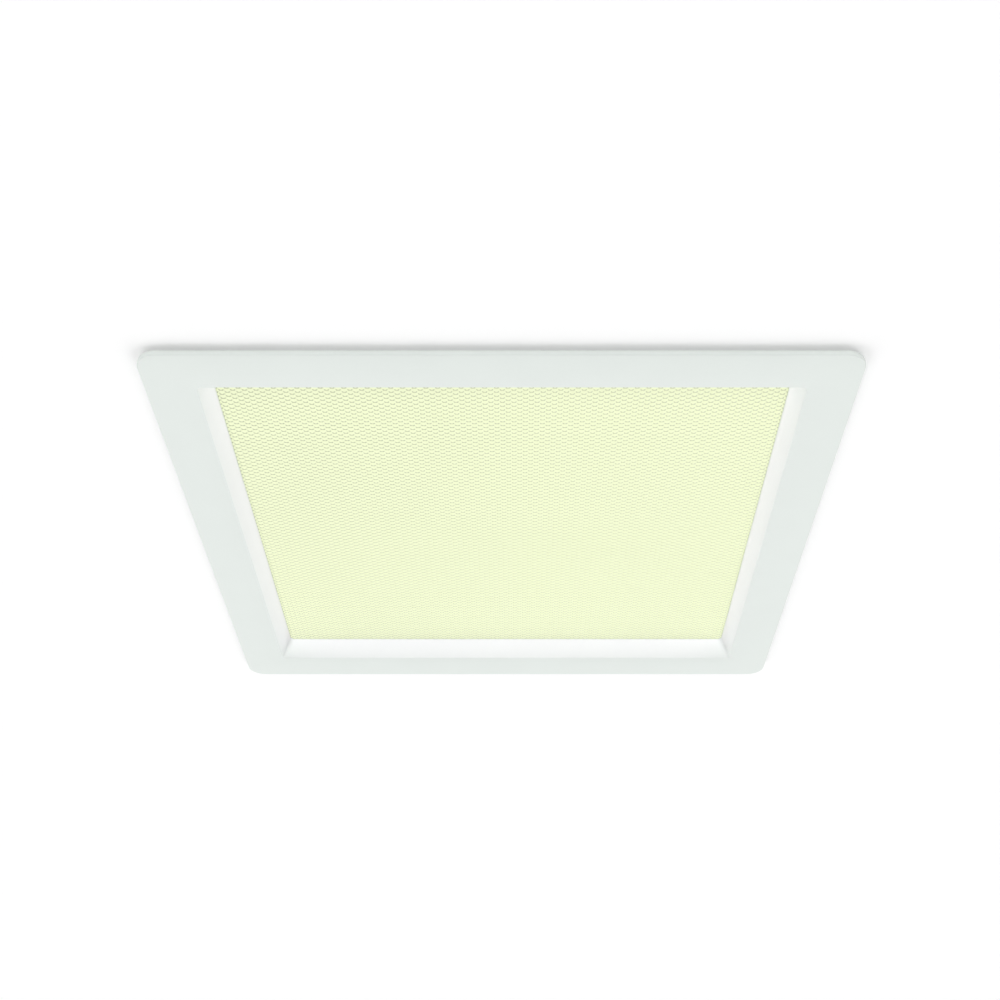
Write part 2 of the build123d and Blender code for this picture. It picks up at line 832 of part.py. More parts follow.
def hook_slot():
    half = hook_w / 2 + hook_gap
    low = hook_z - hook_gap
    high = hook_z + bracket_t + hook_gap
    return block(-pivot_out - sheet_t, -pivot_out, -half, half, low, high)


def stop_top():
    """Height of the stop tab: just below the web where the arm rests."""
    angle = math.radians(arm_rest)
    along = (stop_tip + arm_web_w * math.sin(angle)) / math.cos(angle)
    return along * math.sin(angle) + arm_web_w * math.cos(angle) - stop_gap


def clip_bracket():
    back = -pivot_out
    front = back + bracket_t
    bracket = block(back, front, -bracket_half_w, bracket_half_w, -bracket_down, bracket_up)
    root = Line((front, -ear_root_half), (front, ear_root_half))
    ear = hull_to_eye(0, 0, eye_r, root.edge())
    hole = RegularPolygon(pin_r + pin_fit, pin_hole_sides, major_radius=False)
    for y0, y1 in ((-ear_outer, -ear_inner), (ear_inner, ear_outer)):
        bracket += side_plate(ear, y0, y1)
        bracket -= side_plate(hole, y0, y1)
    top = stop_top()
    bracket += block(front, stop_tip, stop_y0, stop_y1, top - bracket_t, top)
    half = hook_w / 2
    bracket += block(back - hook_depth, back, -half, half, hook_z, hook_z + bracket_t)
    return bracket - rivet_hole()


def clip_pin():
    return side_plate(Circle(pin_r), -ear_outer - pin_end, ear_outer + pin_end)


def clip_rivet():
    outer = -pivot_out + bracket_t
    inner = -pivot_out - sheet_t - rivet_tail
    shank = end_plate(Pos(0, rivet_z) * RegularPolygon(rivet_r, screw_sides), inner, outer)
    head = Pos(0, rivet_z) * RegularPolygon(rivet_head_r, rivet_head_sides)
    return shank + end_plate(head, outer, outer + rivet_head_t)


def clip_spring():
    """Torsion spring round the pin: one leg on the bracket, one along the arm's web."""
    foot_x = -pivot_out + bracket_t + spring_wire_r + spring_root_gap
    foot_z = -spring_root_drop
    start = math.atan2(foot_z, foot_x) + math.acos(spring_r / math.hypot(foot_x, foot_z))
    end = math.radians(arm_rest - 90)
    turn = 2 * math.pi
    sweep_angle = (end - start) % turn + spring_full_turns * turn
    steps = round(sweep_angle / turn * spring_steps)
    points = [(foot_x, spring_root_y, foot_z)]
    for i in range(steps + 1):
        done = sweep_angle * i / steps
        y = spring_root_y - spring_pitch * done / turn
        points.append((spring_r * math.cos(start + done), y, spring_r * math.sin(start + done)))
    x, y, z = points[-1]
    angle = math.radians(arm_rest)
    points.append((x + spring_leg * math.cos(angle), y, z + spring_leg * math.sin(angle)))
    path = Polyline(*points)
    section = Plane(origin=path @ 0, z_dir=path % 0) * RegularPolygon(spring_wire_r, spring_sides)
    return sweep(section, path=path, transition=Transition.RIGHT)


def clip_arm():
    """Pressed channel: a web with two cheeks that rise to the pivot eyes."""
    web = block(arm_web_start, arm_web_end, -arm_half_w, arm_half_w, arm_web_w, arm_web_top)
    lip_top = arm_web_top + arm_lip_h
    outline = make_face(Polyline(
        (0, eye_r), (arm_rise_u, arm_rise), (arm_lip_u, lip_top), (arm_lip_u, arm_web_w), (0, arm_web_w),
        close=True,
    ))
    cheek = outline + clipped_eye(eye_r) - Circle(pin_r + pin_fit)
    inner = arm_half_w - arm_t
    arm = web + side_plate(cheek, -arm_half_w, -inner) + side_plate(cheek, inner, arm_half_w)
    return arm_place() * arm


def clip_foot():
    """Nylon sleeve pushed onto the end of the web, bevelled where it slides."""
    sleeve = Pos(foot_u, 0, foot_w) * Box(2 * foot_r, 2 * foot_half_w, 2 * foot_r)
    sleeve = chamfer(sleeve.edges().filter_by(Axis.Y), foot_corner)
    half = arm_half_w + foot_fit
    slot = block(
        foot_u - foot_slot_back, arm_web_end + foot_fit, -half, half,
        arm_web_w - foot_fit, arm_web_top + foot_fit,
    )
    return arm_place() * (sleeve - slot)


# ---------------------------------------------------------------- write the nodes
os.makedirs("parts", exist_ok=True)
print("rest angle of the clip arms", round(arm_rest, 2), "stop at", round(stop_top(), 2))

save("trim_frame", trim_frame())
save("ceiling_gasket", ceiling_gasket())
save("lens_plate", lens_plate())
save("diffuser_film", diffuser_film())
save("reflector_tray", reflector_tray())
for number, (x, y) in enumerate(board_centres(), 1):
    save(f"led_board_{number}", led_board(x, y))
save("led_packages", led_packages())
save("board_bridges", board_bridges())
save("thermal_pad", thermal_pad())
save("back_housing", back_housing())
save("heat_sink", heat_sink())
save("driver_tray", driver_tray())
save("driver_cover", driver_cover())
save("driver_pcb", driver_pcb())
save("pcb_standoffs", pcb_standoffs())
save("transformer", transformer())
save("capacitors", capacitors())
save("choke", choke())
save("output_header", output_header())
save("terminal_block", terminal_block())
for number, name in enumerate(("line", "neutral", "earth")):
    save(f"release_button_{name}", release_button(number))
save("cable_grommet", cable_grommet())
save("cable_saddle", cable_saddle())
save("cable_clamp", cable_clamp())
save("terminal_lid", terminal_lid())
save("lid_pin", lid_pin())

bracket_shape = clip_bracket()
pin_shape = clip_pin()
spring_shape = clip_spring()
arm_shape = clip_arm()
foot_shape = clip_foot()
for number, place in enumerate(clip_places(), 1):
    save(f"clip_bracket_{number}", place * bracket_shape)
    save(f"clip_pin_{number}", place * pin_shape)
    save(f"clip_spring_{number}", place * spring_shape)
    save(f"clip_arm_{number}", place * arm_shape)
    save(f"clip_foot_{number}", place * foot_shape)
rivet_shape = clip_rivet()
save("clip_rivets", group([place * rivet_shape for place in clip_places()]))

save("frame_screws", screws(frame_screw_places(), frame_screw_l))
save("heat_sink_screws", screws(sink_screw_places(), sink_screw_l))
save("tray_screws", screws(tray_screw_places(), tray_screw_l))
save("earth_screw", screws([earth_place()], box_wall))
save("cover_screws", screws(cover_screw_places(), cover_screw_l))
save("clamp_screws", screws(clamp_screw_places(), clamp_screw_l))
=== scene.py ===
# %% [markdown]
# # A square recessed ceiling luminaire, seen from the room
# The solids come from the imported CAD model, which is loaded as a fixed frame. This script
# dresses them: it keeps each solid whose form is right, softens edges where the solid is too
# crisp, and builds the trim, lens, gasket, heat sink, screws, rivets, springs and pins anew.
# Everything is in metres, in the frame of the model: z = 0 is the ceiling and +z the void.

# %% Load the frame
import json
import math

import bmesh
import bpy
from mathutils import Matrix, Vector

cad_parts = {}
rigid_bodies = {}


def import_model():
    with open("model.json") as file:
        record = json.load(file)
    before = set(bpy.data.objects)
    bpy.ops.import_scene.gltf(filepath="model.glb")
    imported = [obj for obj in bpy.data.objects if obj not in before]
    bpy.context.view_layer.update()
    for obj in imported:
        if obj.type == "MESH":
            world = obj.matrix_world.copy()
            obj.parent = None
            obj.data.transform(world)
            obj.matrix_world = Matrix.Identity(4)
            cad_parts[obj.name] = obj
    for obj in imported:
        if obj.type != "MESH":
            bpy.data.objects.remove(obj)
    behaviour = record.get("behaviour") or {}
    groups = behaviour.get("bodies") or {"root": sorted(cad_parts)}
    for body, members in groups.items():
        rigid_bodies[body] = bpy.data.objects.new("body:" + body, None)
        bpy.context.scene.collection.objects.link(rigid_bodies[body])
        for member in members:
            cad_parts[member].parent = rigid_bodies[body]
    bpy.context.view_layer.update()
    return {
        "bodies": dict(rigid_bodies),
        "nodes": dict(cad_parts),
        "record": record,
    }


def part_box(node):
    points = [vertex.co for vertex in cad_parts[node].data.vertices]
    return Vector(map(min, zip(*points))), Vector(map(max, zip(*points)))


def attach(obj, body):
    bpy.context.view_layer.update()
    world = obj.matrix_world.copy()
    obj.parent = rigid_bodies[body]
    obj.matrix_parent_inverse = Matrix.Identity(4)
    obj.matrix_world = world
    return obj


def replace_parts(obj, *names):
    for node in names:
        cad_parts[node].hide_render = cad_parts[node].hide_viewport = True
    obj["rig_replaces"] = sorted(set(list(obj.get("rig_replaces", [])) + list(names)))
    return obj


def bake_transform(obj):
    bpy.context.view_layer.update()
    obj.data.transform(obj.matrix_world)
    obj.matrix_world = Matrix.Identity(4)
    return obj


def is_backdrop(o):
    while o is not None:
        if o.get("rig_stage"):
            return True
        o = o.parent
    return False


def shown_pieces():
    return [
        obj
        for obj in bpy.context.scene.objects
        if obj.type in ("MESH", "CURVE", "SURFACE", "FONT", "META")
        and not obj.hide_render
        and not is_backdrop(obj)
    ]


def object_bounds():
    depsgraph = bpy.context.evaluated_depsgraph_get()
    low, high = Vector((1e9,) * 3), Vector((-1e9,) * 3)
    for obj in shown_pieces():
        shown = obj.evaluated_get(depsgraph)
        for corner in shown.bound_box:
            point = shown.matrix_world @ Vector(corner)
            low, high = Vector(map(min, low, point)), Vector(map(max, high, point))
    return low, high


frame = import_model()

MM = 0.001
nodes = frame["nodes"]
slot_of = {part["node"]: part["material_slot"] for part in frame["record"]["subparts"]}
body_of = {
    name: next(body for body, empty in frame["bodies"].items() if obj.parent == empty)
    for name, obj in nodes.items()
}

# %% [markdown]
# ## The camera
# The photograph looks up and along the ceiling. Lines fitted to the four sides of the trim
# meet in two vanishing points, and these give the lens and the pitch: 50 mm on a 36 mm
# sensor, 32.6 degrees above the horizon. The viewpoint follows from where the trim's
# corners fall in the picture.

# %% Camera at the photograph's viewpoint
focal_length = 50.0
sensor_width = 36.0
frame_shift = -0.0175
viewpoint = (0.00686, -0.6174, -0.3710)
upward = 32.57              # degrees above the horizon

camera = bpy.data.objects.new("camera", bpy.data.cameras.new("camera"))
bpy.context.collection.objects.link(camera)
camera.data.lens = focal_length
camera.data.sensor_width = sensor_width
camera.data.shift_x = frame_shift
camera.data.clip_start = 0.01
camera.location = viewpoint
camera.rotation_euler = (math.radians(90 + upward), 0, 0)
bpy.context.scene.camera = camera
bpy.context.scene.view_settings.view_transform = "Standard"

# %% [markdown]
# ## Formulas and nodes
# Finishes and Geometry Nodes are both node trees. A tree could be drawn by linking each Math
# node by hand, but a formula is easier to read. So a socket is wrapped in a small class that
# knows +, -, * and so on, and each operation adds its Math node. Every other node comes from
# one method that takes its type, its settings and what goes into its sockets.

# %% Sockets that work in formulas
class Wire:
    """A socket that can stand in a formula; each operation adds its Math node."""

    def __init__(self, graph, socket):
        self.graph = graph
        self.socket = socket

    def _math(self, operation, *terms):
        return self.graph.add("ShaderNodeMath", {"operation": operation}, dict(enumerate(terms)))

    def __add__(self, other):
        return self._math("ADD", self, other)

    def __sub__(self, other):
        return self._math("SUBTRACT", self, other)

    def __rsub__(self, other):
        return self._math("SUBTRACT", other, self)

    def __mul__(self, other):
        return self._math("MULTIPLY", self, other)

    def __truediv__(self, other):
        return self._math("DIVIDE", self, other)

    __radd__ = __add__
    __rmul__ = __mul__

    def floor(self):
        return self._math("FLOOR", self)

    def size(self):
        return self._math("ABSOLUTE", self)

    def root(self):
        return self._math("SQRT", self)

    def at_most(self, other):
        return self._math("MINIMUM", self, other)

    def at_least(self, other):
        return self._math("MAXIMUM", self, other)

    def below(self, other):
        return self._math("LESS_THAN", self, other)

    def ramp(self, low, high):
        """0 below low, 1 above high and a smooth rise between."""
        return self.graph.add(
            "ShaderNodeMapRange", {"interpolation_type": "SMOOTHSTEP"},
            {"Value": self, "From Min": low, "From Max": high},
        )


class Graph:
    """A node tree in the making."""

    def __init__(self, tree):
        self.tree = tree
        tree.nodes.clear()

    def add(self, kind, settings=None, inputs=None, out=0):
        """Any node: its settings first, then a value or a link for each named socket."""
        node = self.tree.nodes.new(kind)
        for key, value in (settings or {}).items():
            setattr(node, key, value)
        for key, value in (inputs or {}).items():
            self.join(node.inputs[key], value)
        return Wire(self, node.outputs[out]) if node.outputs else None

    def join(self, socket, value):
        if isinstance(value, Wire):
            self.tree.links.new(value.socket, socket)
        elif value is not None:
            socket.default_value = value

    def parts(self, vector):
        """The three numbers of a vector."""
        node = self.add("ShaderNodeSeparateXYZ", None, {"Vector": vector}).socket.node
        return [Wire(self, output) for output in node.outputs]

    def blend(self, low, high, share):
        """A colour between two others."""
        node = self.tree.nodes.new("ShaderNodeMix")
        node.data_type = "RGBA"
        factor, a, b = node.inputs[0], node.inputs[6], node.inputs[7]
        for socket, value in ((factor, share), (a, low), (b, high)):
            self.join(socket, (*value, 1.0) if isinstance(value, tuple) else value)
        return Wire(self, node.outputs[2])


# %% [markdown]
# ## A workshop for finishes
# Most parts here are painted, pressed, extruded or moulded. What the eye reads on each is
# the same few things: a slow drift of tone, a fine grain that roughens the light, and a
# direction, such as the draw lines of an extrusion. Image textures could carry that, but
# noise on Object coordinates stays sharp at any distance and needs no unwrapping.

# %% A finish from tone, grain and direction
finishes = {}


def start_finish(name):
    material = bpy.data.materials.new(name)
    material.use_nodes = True
    graph = Graph(material.node_tree)
    finishes[name] = material
    return graph


def close_finish(graph, sockets):
    shader = graph.add("ShaderNodeBsdfPrincipled", None, sockets)
    graph.add("ShaderNodeOutputMaterial", None, {"Surface": shader})


def place_on_object(graph, stretch=(1, 1, 1)):
    spot = graph.add("ShaderNodeTexCoord", out="Object")
    return graph.add("ShaderNodeMapping", None, {"Vector": spot, "Scale": stretch})


def noise(graph, spot, scale, detail=2.0, out=0):
    sockets = {"Vector": spot, "Scale": scale, "Detail": detail}
    return graph.add("ShaderNodeTexNoise", None, sockets, out)


def bump(graph, height, depth):
    """Normals that follow a height of so many metres."""
    sockets = {"Height": height, "Distance": depth, "Strength": 1.0}
    return graph.add("ShaderNodeBump", None, sockets)


drift_scale = 38.0          # drifts of tone per metre
slow_share = 0.65           # how much of the tone follows the drift, the rest follows the grain
fine_rough, slow_rough = 0.22, 0.12


def plain_finish(name, tone, rough, metal=0.0, grain=900.0, depth=0.00002, stretch=(1, 1, 1),
                 drift=0.08, coat=0.0):
    """Tone that drifts by a share, and a grain so fine per metre and so deep in metres."""
    graph = start_finish(name)
    slow = noise(graph, place_on_object(graph), drift_scale, 3.0)
    fine = noise(graph, place_on_object(graph, stretch), grain, 3.0)
    dark = tuple(c * (1 - drift) for c in tone)
    light = tuple(min(1.0, c * (1 + drift / 2)) for c in tone)
    share = (slow * slow_share + fine * (1 - slow_share)).ramp(0.3, 0.7)
    close_finish(graph, {
        "Base Color": graph.blend(dark, light, share),
        "Roughness": (
            rough + (fine - 0.5) * fine_rough + (slow - 0.5) * slow_rough
        ).at_least(0.05),
        "Metallic": metal,
        "Coat Weight": coat,
        "Normal": bump(graph, fine, depth),
    })


# %% [markdown]
# ## Powder-coated trim
# The trim is die cast and powder coated in a cool white. Powder coat flows out before it
# sets and keeps a faint orange peel, a millimetre or so across, that softens reflections
# without looking rough. So the grain is shallow and rather large, over an even tone.

# %% Trim and reflector paint
plain_finish("trim_white", (0.790, 0.838, 0.806), 0.46, grain=620.0, depth=0.000012, drift=0.012)
plain_finish("reflector_white", (0.86, 0.87, 0.86), 0.55, grain=1400.0, depth=0.00001, drift=0.03)

# %% [markdown]
# ## Sheet, extrusions and small steel
# The housing is drawn aluminium with a brushed look, the sink an extrusion with draw lines
# along its fins, and the driver box galvanised sheet, whose zinc freezes in flat crystals.
# Stretching the noise along one axis gives draw lines, and Voronoi cells give the spangle.

# %% Metals
plain_finish("housing_aluminium", (0.73, 0.74, 0.75), 0.36, 1.0, grain=2600.0, depth=0.000012,
             stretch=(0.04, 1, 1), drift=0.10)
plain_finish("sink_aluminium", (0.70, 0.71, 0.72), 0.33, 1.0, grain=2400.0, depth=0.00002,
             stretch=(1, 0.02, 1), drift=0.12)
plain_finish("clip_steel", (0.66, 0.66, 0.65), 0.34, 1.0, grain=2200.0, depth=0.00001,
             stretch=(1, 0.08, 1), drift=0.14)
plain_finish("spring_steel", (0.56, 0.55, 0.53), 0.28, 1.0, grain=5200.0, depth=0.000006,
             drift=0.18)
plain_finish("pin_steel", (0.62, 0.62, 0.61), 0.25, 1.0, grain=5200.0, depth=0.000004, drift=0.10)
plain_finish("rivet_steel", (0.68, 0.68, 0.67), 0.30, 1.0, grain=3400.0, depth=0.000006, drift=0.10)
plain_finish("screw_steel", (0.70, 0.69, 0.66), 0.27, 1.0, grain=3400.0, depth=0.000006, drift=0.14)

zinc = start_finish("galvanised_steel")
zinc_spot = place_on_object(zinc)
warp = noise(zinc, zinc_spot, 160.0, out=1)
warp_depth = 0.004
bent = zinc.add("ShaderNodeVectorMath", {"operation": "MULTIPLY_ADD"}, {
    0: warp, 1: (warp_depth,) * 3, 2: zinc_spot,
})
flake = zinc.add("ShaderNodeTexVoronoi", None, {"Vector": bent, "Scale": 170.0}, out="Color")
tone_of_flake, tilt_of_flake, _ = zinc.parts(flake)
fine_zinc = noise(zinc, zinc_spot, 2600.0, 3.0)
close_finish(zinc, {
    "Base Color": zinc.blend((0.56, 0.58, 0.60), (0.72, 0.74, 0.76), tone_of_flake),
    "Roughness": 0.30 + tilt_of_flake * 0.20 + fine_zinc * 0.08,
    "Metallic": 1.0,
    "Normal": bump(zinc, fine_zinc + tilt_of_flake * 2.0, 0.00001),
})

# %% [markdown]
# ## Plastics, rubber and electronics
# Moulded parts keep the spark-eroded texture of their tool, a fine even grain, and a little
# gloss. Rubber and foam are matt. Inside, ferrite is near black, boards are coated in
# solder mask, and the LED boards are white so that they give light back.

# %% Moulded and coated finishes
plain_finish("terminal_grey", (0.52, 0.53, 0.53), 0.42, grain=1900.0, depth=0.000014, drift=0.06)
plain_finish("button_brown", (0.20, 0.085, 0.035), 0.38, grain=1900.0, depth=0.00001, drift=0.12)
plain_finish("button_blue", (0.03, 0.13, 0.42), 0.38, grain=1900.0, depth=0.00001, drift=0.12)
plain_finish("button_green", (0.04, 0.27, 0.09), 0.38, grain=1900.0, depth=0.00001, drift=0.12)
plain_finish("lid_plastic", (0.70, 0.71, 0.70), 0.44, grain=1500.0, depth=0.00002, drift=0.05)
plain_finish("clamp_nylon", (0.63, 0.63, 0.60), 0.46, grain=1300.0, depth=0.00002, drift=0.06)
plain_finish("foot_nylon", (0.76, 0.77, 0.74), 0.42, grain=1300.0, depth=0.00002, drift=0.06)
plain_finish("connector_white", (0.80, 0.80, 0.77), 0.40, grain=1900.0, depth=0.00001, drift=0.05)
plain_finish("grommet_rubber", (0.035, 0.035, 0.037), 0.66, grain=1500.0, depth=0.00003, drift=0.3)
plain_finish("gasket_foam", (0.10, 0.10, 0.105), 0.88, grain=2300.0, depth=0.00014, drift=0.4)
plain_finish("thermal_pad", (0.42, 0.47, 0.55), 0.74, grain=1200.0, depth=0.00002, drift=0.10)
plain_finish("diffuser", (0.84, 0.86, 0.82), 0.52, grain=1800.0, depth=0.000008, drift=0.03)
plain_finish("board_white", (0.82, 0.83, 0.81), 0.35, grain=1400.0, depth=0.00001,
             drift=0.04, coat=0.3)
plain_finish("circuit_board", (0.03, 0.17, 0.07), 0.34, grain=700.0, depth=0.00003,
             drift=0.35, coat=0.4)
plain_finish("ferrite_black", (0.045, 0.043, 0.042), 0.58, grain=1100.0, depth=0.00004, drift=0.3)
plain_finish("capacitor_sleeve", (0.03, 0.05, 0.13), 0.28, grain=900.0, depth=0.00001,
             drift=0.2, coat=0.5)
print("finishes", len(finishes))

# %% [markdown]
# ## The glow of the phosphor and the lens
# An LED package is a tiny white tub filled with yellow phosphor. The lens is clear acrylic
# over a diffusing film, and from below it shows an even pale yellow-green. Lighting it with
# real LEDs behind real acrylic would be slow and grainy, so the acrylic gives off part of
# that light itself and reflects the rest of it from the room.
# Each dome looks evenly lit, apart from painted shade. A dimmer, darker crescent is painted
# along its far side, a faint painted shade lies in the groove round it, and a dimmer painted
# band runs along the lens's border. The crescent and the groove are found from the same
# honeycomb as the mesh: the groove from each point's distance to the nearest centre, and the
# crescent from its distance to a point a little short of that centre. Towards the sides the
# painted crescents lean outwards, and they are deeper towards -x.

# %% Honeycomb on Object coordinates
dome_pitch = 3.043 * MM
crescent_shift = 0.25       # how far short of its centre, in pitches, a dome's crescent is drawn
crescent_lean = 0.6         # how far it leans outwards, in pitches per metre from the middle
# how much painted shade darkens the glow in the groove round each dome and along the border
groove_shade, border_shade = 0.04, 0.08


def honeycomb(graph, along, across, pitch):
    """Offsets to the nearest centre of a honeycomb whose rows run along the first axis."""
    row = pitch * math.sqrt(3)
    found = []
    for shift in (0.0, 0.5):
        a = along / pitch - shift
        b = across / row - shift
        found.append(((a - (a + 0.5).floor()) * pitch, (b - (b + 0.5).floor()) * row))
    (a0, b0), (a1, b1) = found
    far0 = a0 * a0 + b0 * b0
    far1 = a1 * a1 + b1 * b1
    first = far0.below(far1)
    a = a0 * first + a1 * (1 - first)
    b = b0 * first + b1 * (1 - first)
    return a, b


phosphor = start_finish("led_phosphor")
grit = noise(phosphor, place_on_object(phosphor), 5200.0, 3.0)
close_finish(phosphor, {
    "Base Color": phosphor.blend((0.75, 0.62, 0.20), (0.86, 0.76, 0.30), grit),
    "Roughness": 0.45 + grit * 0.2,
    "Normal": bump(phosphor, grit, 0.00002),
})

lens = start_finish("lens_acrylic")
lens_x, lens_y, _ = lens.parts(place_on_object(lens))
off_y, off_x = honeycomb(lens, lens_y, lens_x, dome_pitch)
groove = (off_x * off_x + off_y * off_y).root() / (dome_pitch / 2)
short = off_y + dome_pitch * crescent_shift
lean = off_x + lens_x * (dome_pitch * crescent_lean)
# painted shade: a crescent on each dome's far side, where the glow and base colour are darker
crescent_shade = ((lean * lean + short * short).root() / (dome_pitch / 2)).ramp(0.78, 1.1)
crescent_shade = crescent_shade * (1 - off_x.size().ramp(dome_pitch * 0.28, dome_pitch * 0.46))
# the painted crescent shade is deeper towards -x
depth = 0.80 - lens_x.ramp(-0.12, 0.06) * 0.22
# painted shade: a narrow band along the lens's border, where the glow is dimmer
border = lens_x.size().at_least(lens_y.size()).ramp(0.1262, 0.1288)
clouds = noise(lens, place_on_object(lens), 14.0, 2.0)
# the glow is dimmed by painted shade in the grooves, the crescents and along the border
glow = 1 - groove.ramp(0.8, 1.1) * groove_shade - crescent_shade * depth
glow = glow * (0.97 + clouds * 0.06) * (1 - border * border_shade)
close_finish(lens, {
    # the base colour is darker in the painted crescent shade
    "Base Color": lens.blend((0.33, 0.37, 0.215), (0.22, 0.25, 0.14), crescent_shade),
    "Roughness": 0.32 + crescent_shade * 0.1,
    "Emission Color": lens.blend((0.0, 0.0, 0.0), (0.57, 0.595, 0.425), glow),
    "Emission Strength": 1.0,
    "IOR": 1.49,
})

# %% [markdown]
# ## Meshes from a few helpers
# Three ways of making a mesh come back all the time. A ring stack lays rounded squares of
# changing size on top of each other, which is how the trim, its fillets and its channel
# run round the mouth. A softened copy takes a solid of the model and rounds its edges, as
# bending and moulding do. Geometry Nodes make whatever repeats. A curve, a modifier or a
# tree is turned into a plain mesh each time, so that the export sees what the render shows.

# %% Mesh helpers
def new_piece(name, mesh, finish, body, *stood_for):
    """Put a finished mesh in the scene, with its finish, its body and what it replaces."""
    obj = bpy.data.objects.new(name, mesh)
    bpy.context.collection.objects.link(obj)
    mesh.materials.clear()
    mesh.materials.append(finishes[finish])
    if body:
        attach(obj, body)
    if stood_for:
        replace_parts(obj, *stood_for)
    return obj


def mesh_from(name, build, closed=True):
    """A mesh from a function that fills a bmesh; closed ones get their faces turned outwards."""
    mesh = bpy.data.meshes.new(name)
    shape = bmesh.new()
    build(shape)
    if closed:
        bmesh.ops.remove_doubles(shape, verts=shape.verts, dist=0.002 * MM)
        bmesh.ops.recalc_face_normals(shape, faces=shape.faces)
    shape.to_mesh(mesh)
    shape.free()
    return mesh


def stand_in(name, data):
    """An object that lives only until its modifiers or curve settings have been read."""
    stand = bpy.data.objects.new(name, data)
    bpy.context.collection.objects.link(stand)
    return stand


def plain_mesh(name, stand):
    """What a stand-in's modifiers or curve settings make of it, as a mesh of its own."""
    view = bpy.context.evaluated_depsgraph_get()
    mesh = bpy.data.meshes.new_from_object(stand.evaluated_get(view), depsgraph=view)
    stand.modifiers.clear()
    bpy.data.objects.remove(stand)
    mesh.name = name
    return mesh


def triangles(mesh):
    return sum(len(face.vertices) - 2 for face in mesh.polygons)


def smooth_by_angle(mesh, degrees=32):
    """Smooth shading, but crisp across edges that turn more than this."""
    for face in mesh.polygons:
        face.use_smooth = True
    mesh.set_sharp_from_angle(angle=math.radians(degrees))
    return mesh


def rounded_square(half, radius, steps):
    """Points round a square with rounded corners, anticlockwise."""
    points = []
    for corner in range(4):
        sx, sy = ((1, 1), (-1, 1), (-1, -1), (1, -1))[corner]
        for i in range(steps + 1):
            angle = math.pi / 2 * (corner + i / steps)
            points.append((
                sx * (half - radius) + radius * math.cos(angle),
                sy * (half - radius) + radius * math.sin(angle),
            ))
    return points


def ring_stack(shape, rings, steps=12, closed=True):
    """Rounded squares (half side, corner radius, height), in mm, joined one to the next."""
    rows = [
        [shape.verts.new((x * MM, y * MM, z * MM)) for x, y in rounded_square(half, radius, steps)]
        for half, radius, z in rings
    ]
    pairs = list(zip(rows, rows[1:] + rows[:1])) if closed else list(zip(rows, rows[1:]))
    for low, high in pairs:
        for i, vert in enumerate(low):
            j = (i + 1) % len(low)
            shape.faces.new((vert, low[j], high[j], high[i]))


def box_in(shape, low, high):
    """A closed block between two corners, in mm."""
    made = bmesh.ops.create_cube(shape, size=1.0)["verts"]
    for vert in made:
        for axis in range(3):
            share = vert.co[axis] + 0.5
            vert.co[axis] = MM * (low[axis] + share * (high[axis] - low[axis]))


# %% [markdown]
# ## The trim
# Seen from the room the trim is a flat flange with rounded corners, a softened outer edge, a
# crisp mouth and a reveal that leans in towards the lens. All of that is one profile that
# runs round a square, so it is a ring stack. The radii of the fillets are what catch the
# light, and they are drawn as short arcs of rings.

# %% Trim casting
def arc(half, radius, z, fillet, start, end, steps=4):
    """Rings along a fillet: the centre is given, and angles are in degrees from outwards."""
    rings = []
    for i in range(steps + 1):
        angle = math.radians(start + (end - start) * i / steps)
        out = fillet * math.cos(angle)
        rings.append((half + out, radius + out, z + fillet * math.sin(angle)))
    return rings


# heights, in mm
face_z, flange_top_z = -3.6, -1.0
ledge_z, rim_z, skirt_z = 7.5, 11.0, 16.0
# half sides and the radii of their corners, in mm
flange_out, flange_corner = 156.0, 9.5
skirt_out, skirt_out_corner = 143.0, 8.0
skirt_in, skirt_in_corner = 140.8, 5.8
wall_out, wall_out_corner = 135.0, 6.6
seat_out, seat_corner = 131.6, 3.2
mouth_half, sill_half = 133.1, 128.62
# fillets, in mm
face_fillet, edge_fillet, sill_fillet, mouth_fillet = 0.5, 0.3, 0.2, 0.35


def inner_edge(half, corner, fillet, z):
    """A fillet along an upper edge that faces the mouth."""
    return arc(half + fillet, corner + fillet, z - fillet, fillet, 90, 180, 3)


def outer_edge(half, corner, fillet, z):
    """A fillet along an upper outer edge."""
    return arc(half - fillet, corner - fillet, z - fillet, fillet, 0, 90, 3)


def trim_profile():
    """Once round the section: face, flange, skirt, channel, lens wall, ledge and reveal."""
    lean = math.degrees(math.atan2(ledge_z - face_z, sill_half - mouth_half)) + 90
    rings = arc(mouth_half + 0.42, 2.6, face_z + mouth_fillet, mouth_fillet, lean, 270)
    rings += arc(
        flange_out - face_fillet, flange_corner - face_fillet, face_z + face_fillet,
        face_fillet, 270, 360, 6,
    )
    rings += outer_edge(flange_out, flange_corner, edge_fillet, flange_top_z)
    rings += [(skirt_out, skirt_out_corner, flange_top_z)]
    rings += outer_edge(skirt_out, skirt_out_corner, edge_fillet, skirt_z)
    rings += inner_edge(skirt_in, skirt_in_corner, edge_fillet, skirt_z)
    rings += [(skirt_in, skirt_in_corner, flange_top_z), (wall_out, wall_out_corner, flange_top_z)]
    rings += outer_edge(wall_out, wall_out_corner, edge_fillet, rim_z)
    rings += inner_edge(seat_out, seat_corner, sill_fillet, rim_z)
    rings += [(seat_out, seat_corner, ledge_z)]
    rings += arc(sill_half + 0.21, 3.0, ledge_z - sill_fillet, sill_fillet, 90, lean, 3)
    return rings


channel_mid, channel_half = 137.9, 2.9
rib_half, rib_z = 0.8, 9.0
boss_half, boss_from_middle = 4.5, 100


